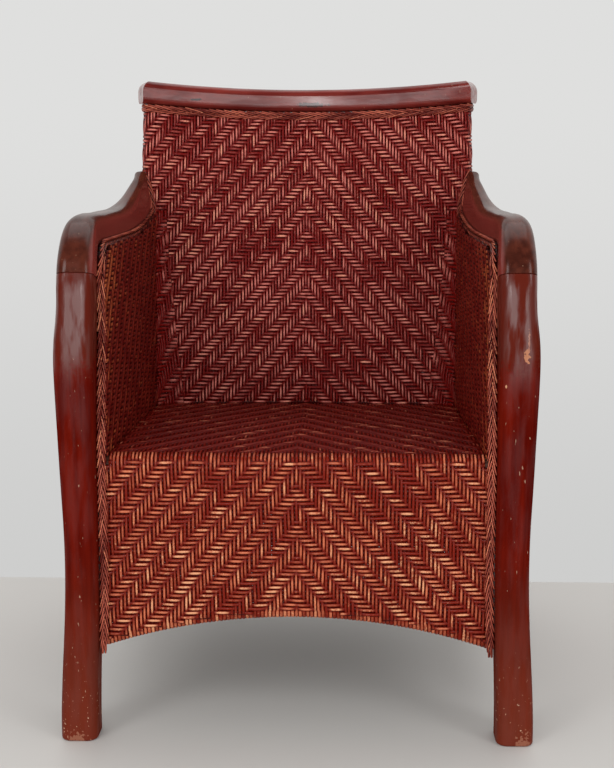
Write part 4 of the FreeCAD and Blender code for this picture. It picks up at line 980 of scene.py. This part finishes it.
def frontBraid(sign):
    look = edgeBraid
    jointZ = chair["jointZ"]
    z = np.linspace(chair["archSide"] - look["belowArch"], jointZ, 120)
    near = (z - jointZ) / look["closeRun"] + 1
    parts = [(legInner(z) - ease(look["fromLeg"], look["fromBend"], near), panelEdge(z), z)]
    turn = np.linspace(0, math.pi / 2, 20)[1:]
    widenFrom, widenOver = look["widen"]
    share = (np.degrees(turn) - widenFrom) / widenOver
    jointInner = legStations[-1][1] - legStations[-1][2]
    inner = ease(jointInner, chair["armOuter"] - chair["armWidth"], share)
    parts.append((inner - look["fromBend"], bendV - chair["braidBend"] * np.cos(turn),
                  jointZ + chair["braidBend"] * np.sin(turn)))
    s = np.linspace(0, levelLength, 40)[1:]
    centre, width, depth = armSize(s)
    level = chair["armLevel"] - depth / 2 + look["fromEdge"]
    parts.append((centre - width / 2 - look["fromArm"], bendV + s, level))
    turn = np.linspace(0, look["riseShare"] * riseTurn, 30)[1:]
    centre, width, depth = armSize(levelLength + riseRadius * turn)
    roll = np.radians(ease(0.0, chair["armTwist"], turn / riseTurn))
    down = depth / 2 - look["fromEdge"]
    x = centre - width / 2 - look["fromArm"] - down * np.sin(roll)
    v, z = riseLine(turn, down)
    parts.append((x, v, z))
    endX, endV, endZ = x[-1], v[-1], z[-1]
    z = np.linspace(endZ, armEndZ + chair["armEndDepth"] / 2 + look["tipRise"], 20)[1:]
    x = endX + (z - endZ) * math.tan(math.radians(chair["armTwist"] + look["tipLean"]))
    v = np.minimum(backFace(x, z) - look["fromBack"], endV + (z - endZ) * look["tipSlope"])
    parts.append((x, v, z))
    line, run = edgeRoute(sign, parts)
    turnZ, turnRun = look["turn"]
    share = ease(0.0, 1.0, (line[:, 2] - turnZ) / turnRun)[:, None]
    facing = np.array([-0.35 * sign, -1.0, 0.0]) * (1 - share) + np.array([-sign, -0.3, 0.35]) * share
    tipStart, tipRun = look["tipTurn"]
    last = ease(0.0, 1.0, (run - run[-1] + tipStart) / tipRun)[:, None]
    facing = facing * (1 - last) + np.array([-0.5 * sign, -1.0, 0.2]) * last
    stations = look["footWidths"] + [(run[-1] - back, wide) for back, wide in look["tipWidths"]]
    width = np.interp(run, *zip(*stations))
    rub, rubAt, spread = look["kneeRub"]
    worn = rub * hump(run, rubAt, spread) + look["wear"]
    side = sideNames[sign]
    wheatBraid(side + "_front_braid", side + "_front_edge_braid", ringSix, line, run, facing, width, look,
               worn)


def outerBraid(sign):
    def lean(z):
        return outerFace + edgeBraid["outerGap"] + (seatBackZ - z) * outerWeave["slope"]

    z = np.linspace(chair["archSide"], edgeBraid["outerTop"], 80)
    parts = [(lean(z), edgeBraid["outerV"], z)]
    r = bendInner - edgeBraid["outerUnder"]
    turn = np.linspace(0, math.pi / 2, 16)
    z = chair["jointZ"] + r * np.sin(turn)
    parts.append((lean(z), bendV - r * np.cos(turn), z))
    z = chair["jointZ"] + r
    parts.append((lean(z), np.linspace(bendV, riseStart, 40)[1:], z))
    turn = np.linspace(0, edgeBraid["riseShare"] * riseTurn, 30)[1:]
    v, z = riseLine(turn, armSize(levelLength + riseRadius * turn)[2] / 2 + edgeBraid["outerUnder"])
    parts.append((lean(z), v, z))
    line, run = edgeRoute(sign, parts)
    facing = np.broadcast_to(np.array([float(sign), 0.0, 0.0]), line.shape)
    side = sideNames[sign]
    wheatBraid(side + "_outer_braid", side + "_outer_edge_braid", ringFour, line, run, facing,
               edgeBraid["footWidth"], edgeBraid, edgeBraid["wear"])


for sign in sideNames:
    frontBraid(sign)
    outerBraid(sign)

crestBraid = {"leaf": 34.0, "spacing": 6.4, "cane": 3.4, "thick": 1.9, "depth": 2.0, "step": 4.0,
              "footWidth": 14.0, "drop": 6.6, "outset": 2.2, "followLean": 0.8, "wear": 0.06}


def underCrestBraid():
    look = crestBraid
    level = chair["crestBottom"] - look["drop"]
    frontX, frontV = backPlan(level, -look["outset"], True, 120)
    rearX, rearV = backPlan(level, -look["outset"], False, 120)
    x = np.concatenate([frontX, rearX[::-1][1:]])
    z = crestUnder(x) - look["drop"]
    lean = chair["backLean"] / backRise * look["followLean"]
    v = np.concatenate([frontV, rearV[::-1][1:]]) - lean * (level - z)
    line, run = resample(place(x, v, z), look["step"] * mm)
    facing = np.cross(unit(np.gradient(line, axis=0)), np.array([0.0, 0.0, 1.0]))
    wheatBraid("crest_edge_braid", "crest_braid", ringSix, line, run, facing, look["footWidth"],
               crestBraid, look["wear"])


underCrestBraid()
print("braids made")

# Floor, light and camera
stageLook = {"floor": tint(196, 194, 191), "wall": tint(223, 223, 222), "fill": 0.78, "room": 0.05,
             "reach": 6.0, "rearEdge": 0.34, "wallFootShade": 0.83, "wallShadeSpan": (-0.36, 0.06),
             "mirrorSpan": (-0.1, 0.3)}
floorMesh = bpy.data.meshes.new("floor")
reach = stageLook["reach"]
rearY = stageLook["rearEdge"]
floorMesh.from_pydata([(-reach, -reach, 0), (reach, -reach, 0), (reach, rearY, 0), (-reach, rearY, 0)], [],
                      [(0, 1, 2, 3)])
floorMesh.materials.append(makePlain("floorPaint", stageLook["floor"], 0.6))
floor = bpy.data.objects.new("floor", floorMesh)
bpy.context.scene.collection.objects.link(floor)

world = bpy.data.worlds.new("studio")
bpy.context.scene.world = world
world.use_nodes = True
tree = world.node_tree
tree.nodes.clear()
path = put(tree, "ShaderNodeLightPath").outputs
# Shiny surfaces mirror the pale wall behind the chair and a dimmer room in front of it
ahead = put(tree, "ShaderNodeTexCoord").outputs["Generated"]
ahead = put(tree, "ShaderNodeSeparateXYZ", {0: ahead}).outputs
behind = stepped(tree, ahead["Y"], *stageLook["mirrorSpan"])
mirror = lifted(tree, behind, stageLook["room"])
glossy = path["Is Glossy Ray"]
strength = sumOf(tree, (glossy, mirror), (minus(tree, 1.0, glossy), stageLook["fill"]))
lit = put(tree, "ShaderNodeBackground", {"Color": (1.0, 0.99, 0.97, 1.0), "Strength": strength})
# The backdrop seen by the camera darkens towards the wall's foot: painted shade
shade = lifted(tree, stepped(tree, ahead["Z"], *stageLook["wallShadeSpan"]), stageLook["wallFootShade"])
seen = put(tree, "ShaderNodeBackground", {"Color": stageLook["wall"], "Strength": shade})
direct = calc(tree, "MAXIMUM", path["Is Camera Ray"], path["Is Transmission Ray"])
either = put(tree, "ShaderNodeMixShader", {0: direct, 1: lit.outputs[0], 2: seen.outputs[0]})
put(tree, "ShaderNodeOutputWorld", {0: either.outputs[0]})

lamps = {
    "leftWindow": {"at": (-1.7, -2.2, 1.9), "to": (0.0, 0.0, 0.55), "size": (0.9, 1.4), "power": 18.0},
    "rightWindow": {"at": (2.0, -1.9, 1.8), "to": (0.0, 0.0, 0.55), "size": (0.8, 1.3), "power": 13.0},
    "frontWindow": {"at": (0.0, -3.4, 0.68), "to": (0.0, 0.0, 0.66), "size": (3.6, 1.28), "power": 45.0},
    "frontDoor": {"at": (-0.15, -3.3, 0.9), "to": (0.0, 0.0, 0.8), "size": (0.3, 0.8), "power": 8.0},
    "ceiling": {"at": (0.0, 0.5, 2.6), "to": (0.0, 0.0, 0.4), "size": (2.4, 1.6), "power": 14.0},
}


def aim(thing, at, to):
    x, y, z = np.array(to, float) - np.array(at, float)
    thing.location = at
    thing.rotation_euler = (math.pi / 2 + math.atan2(z, math.hypot(x, y)), 0, math.atan2(y, x) - math.pi / 2)


for name, look in lamps.items():
    lamp = bpy.data.lights.new(name, "AREA")
    lamp.shape = "RECTANGLE"
    lamp.size, lamp.size_y = look["size"]
    lamp.energy = look["power"]
    thing = bpy.data.objects.new(name, lamp)
    bpy.context.scene.collection.objects.link(thing)
    aim(thing, look["at"], look["to"])

view = {"lens": 69.7, "sensor": 36.0, "at": (0.055, -1.793, 0.771), "pitch": -10.51, "yaw": 1.54}
lens = bpy.data.cameras.new("camera")
lens.lens = view["lens"]
lens.sensor_fit = "HORIZONTAL"
lens.sensor_width = view["sensor"]
camera = bpy.data.objects.new("camera", lens)
camera.location = view["at"]
camera.rotation_euler = (math.radians(90 + view["pitch"]), 0, math.radians(view["yaw"]))
bpy.context.scene.collection.objects.link(camera)
bpy.context.scene.camera = camera
bpy.context.scene.view_settings.view_transform = "Standard"
print("stage set")
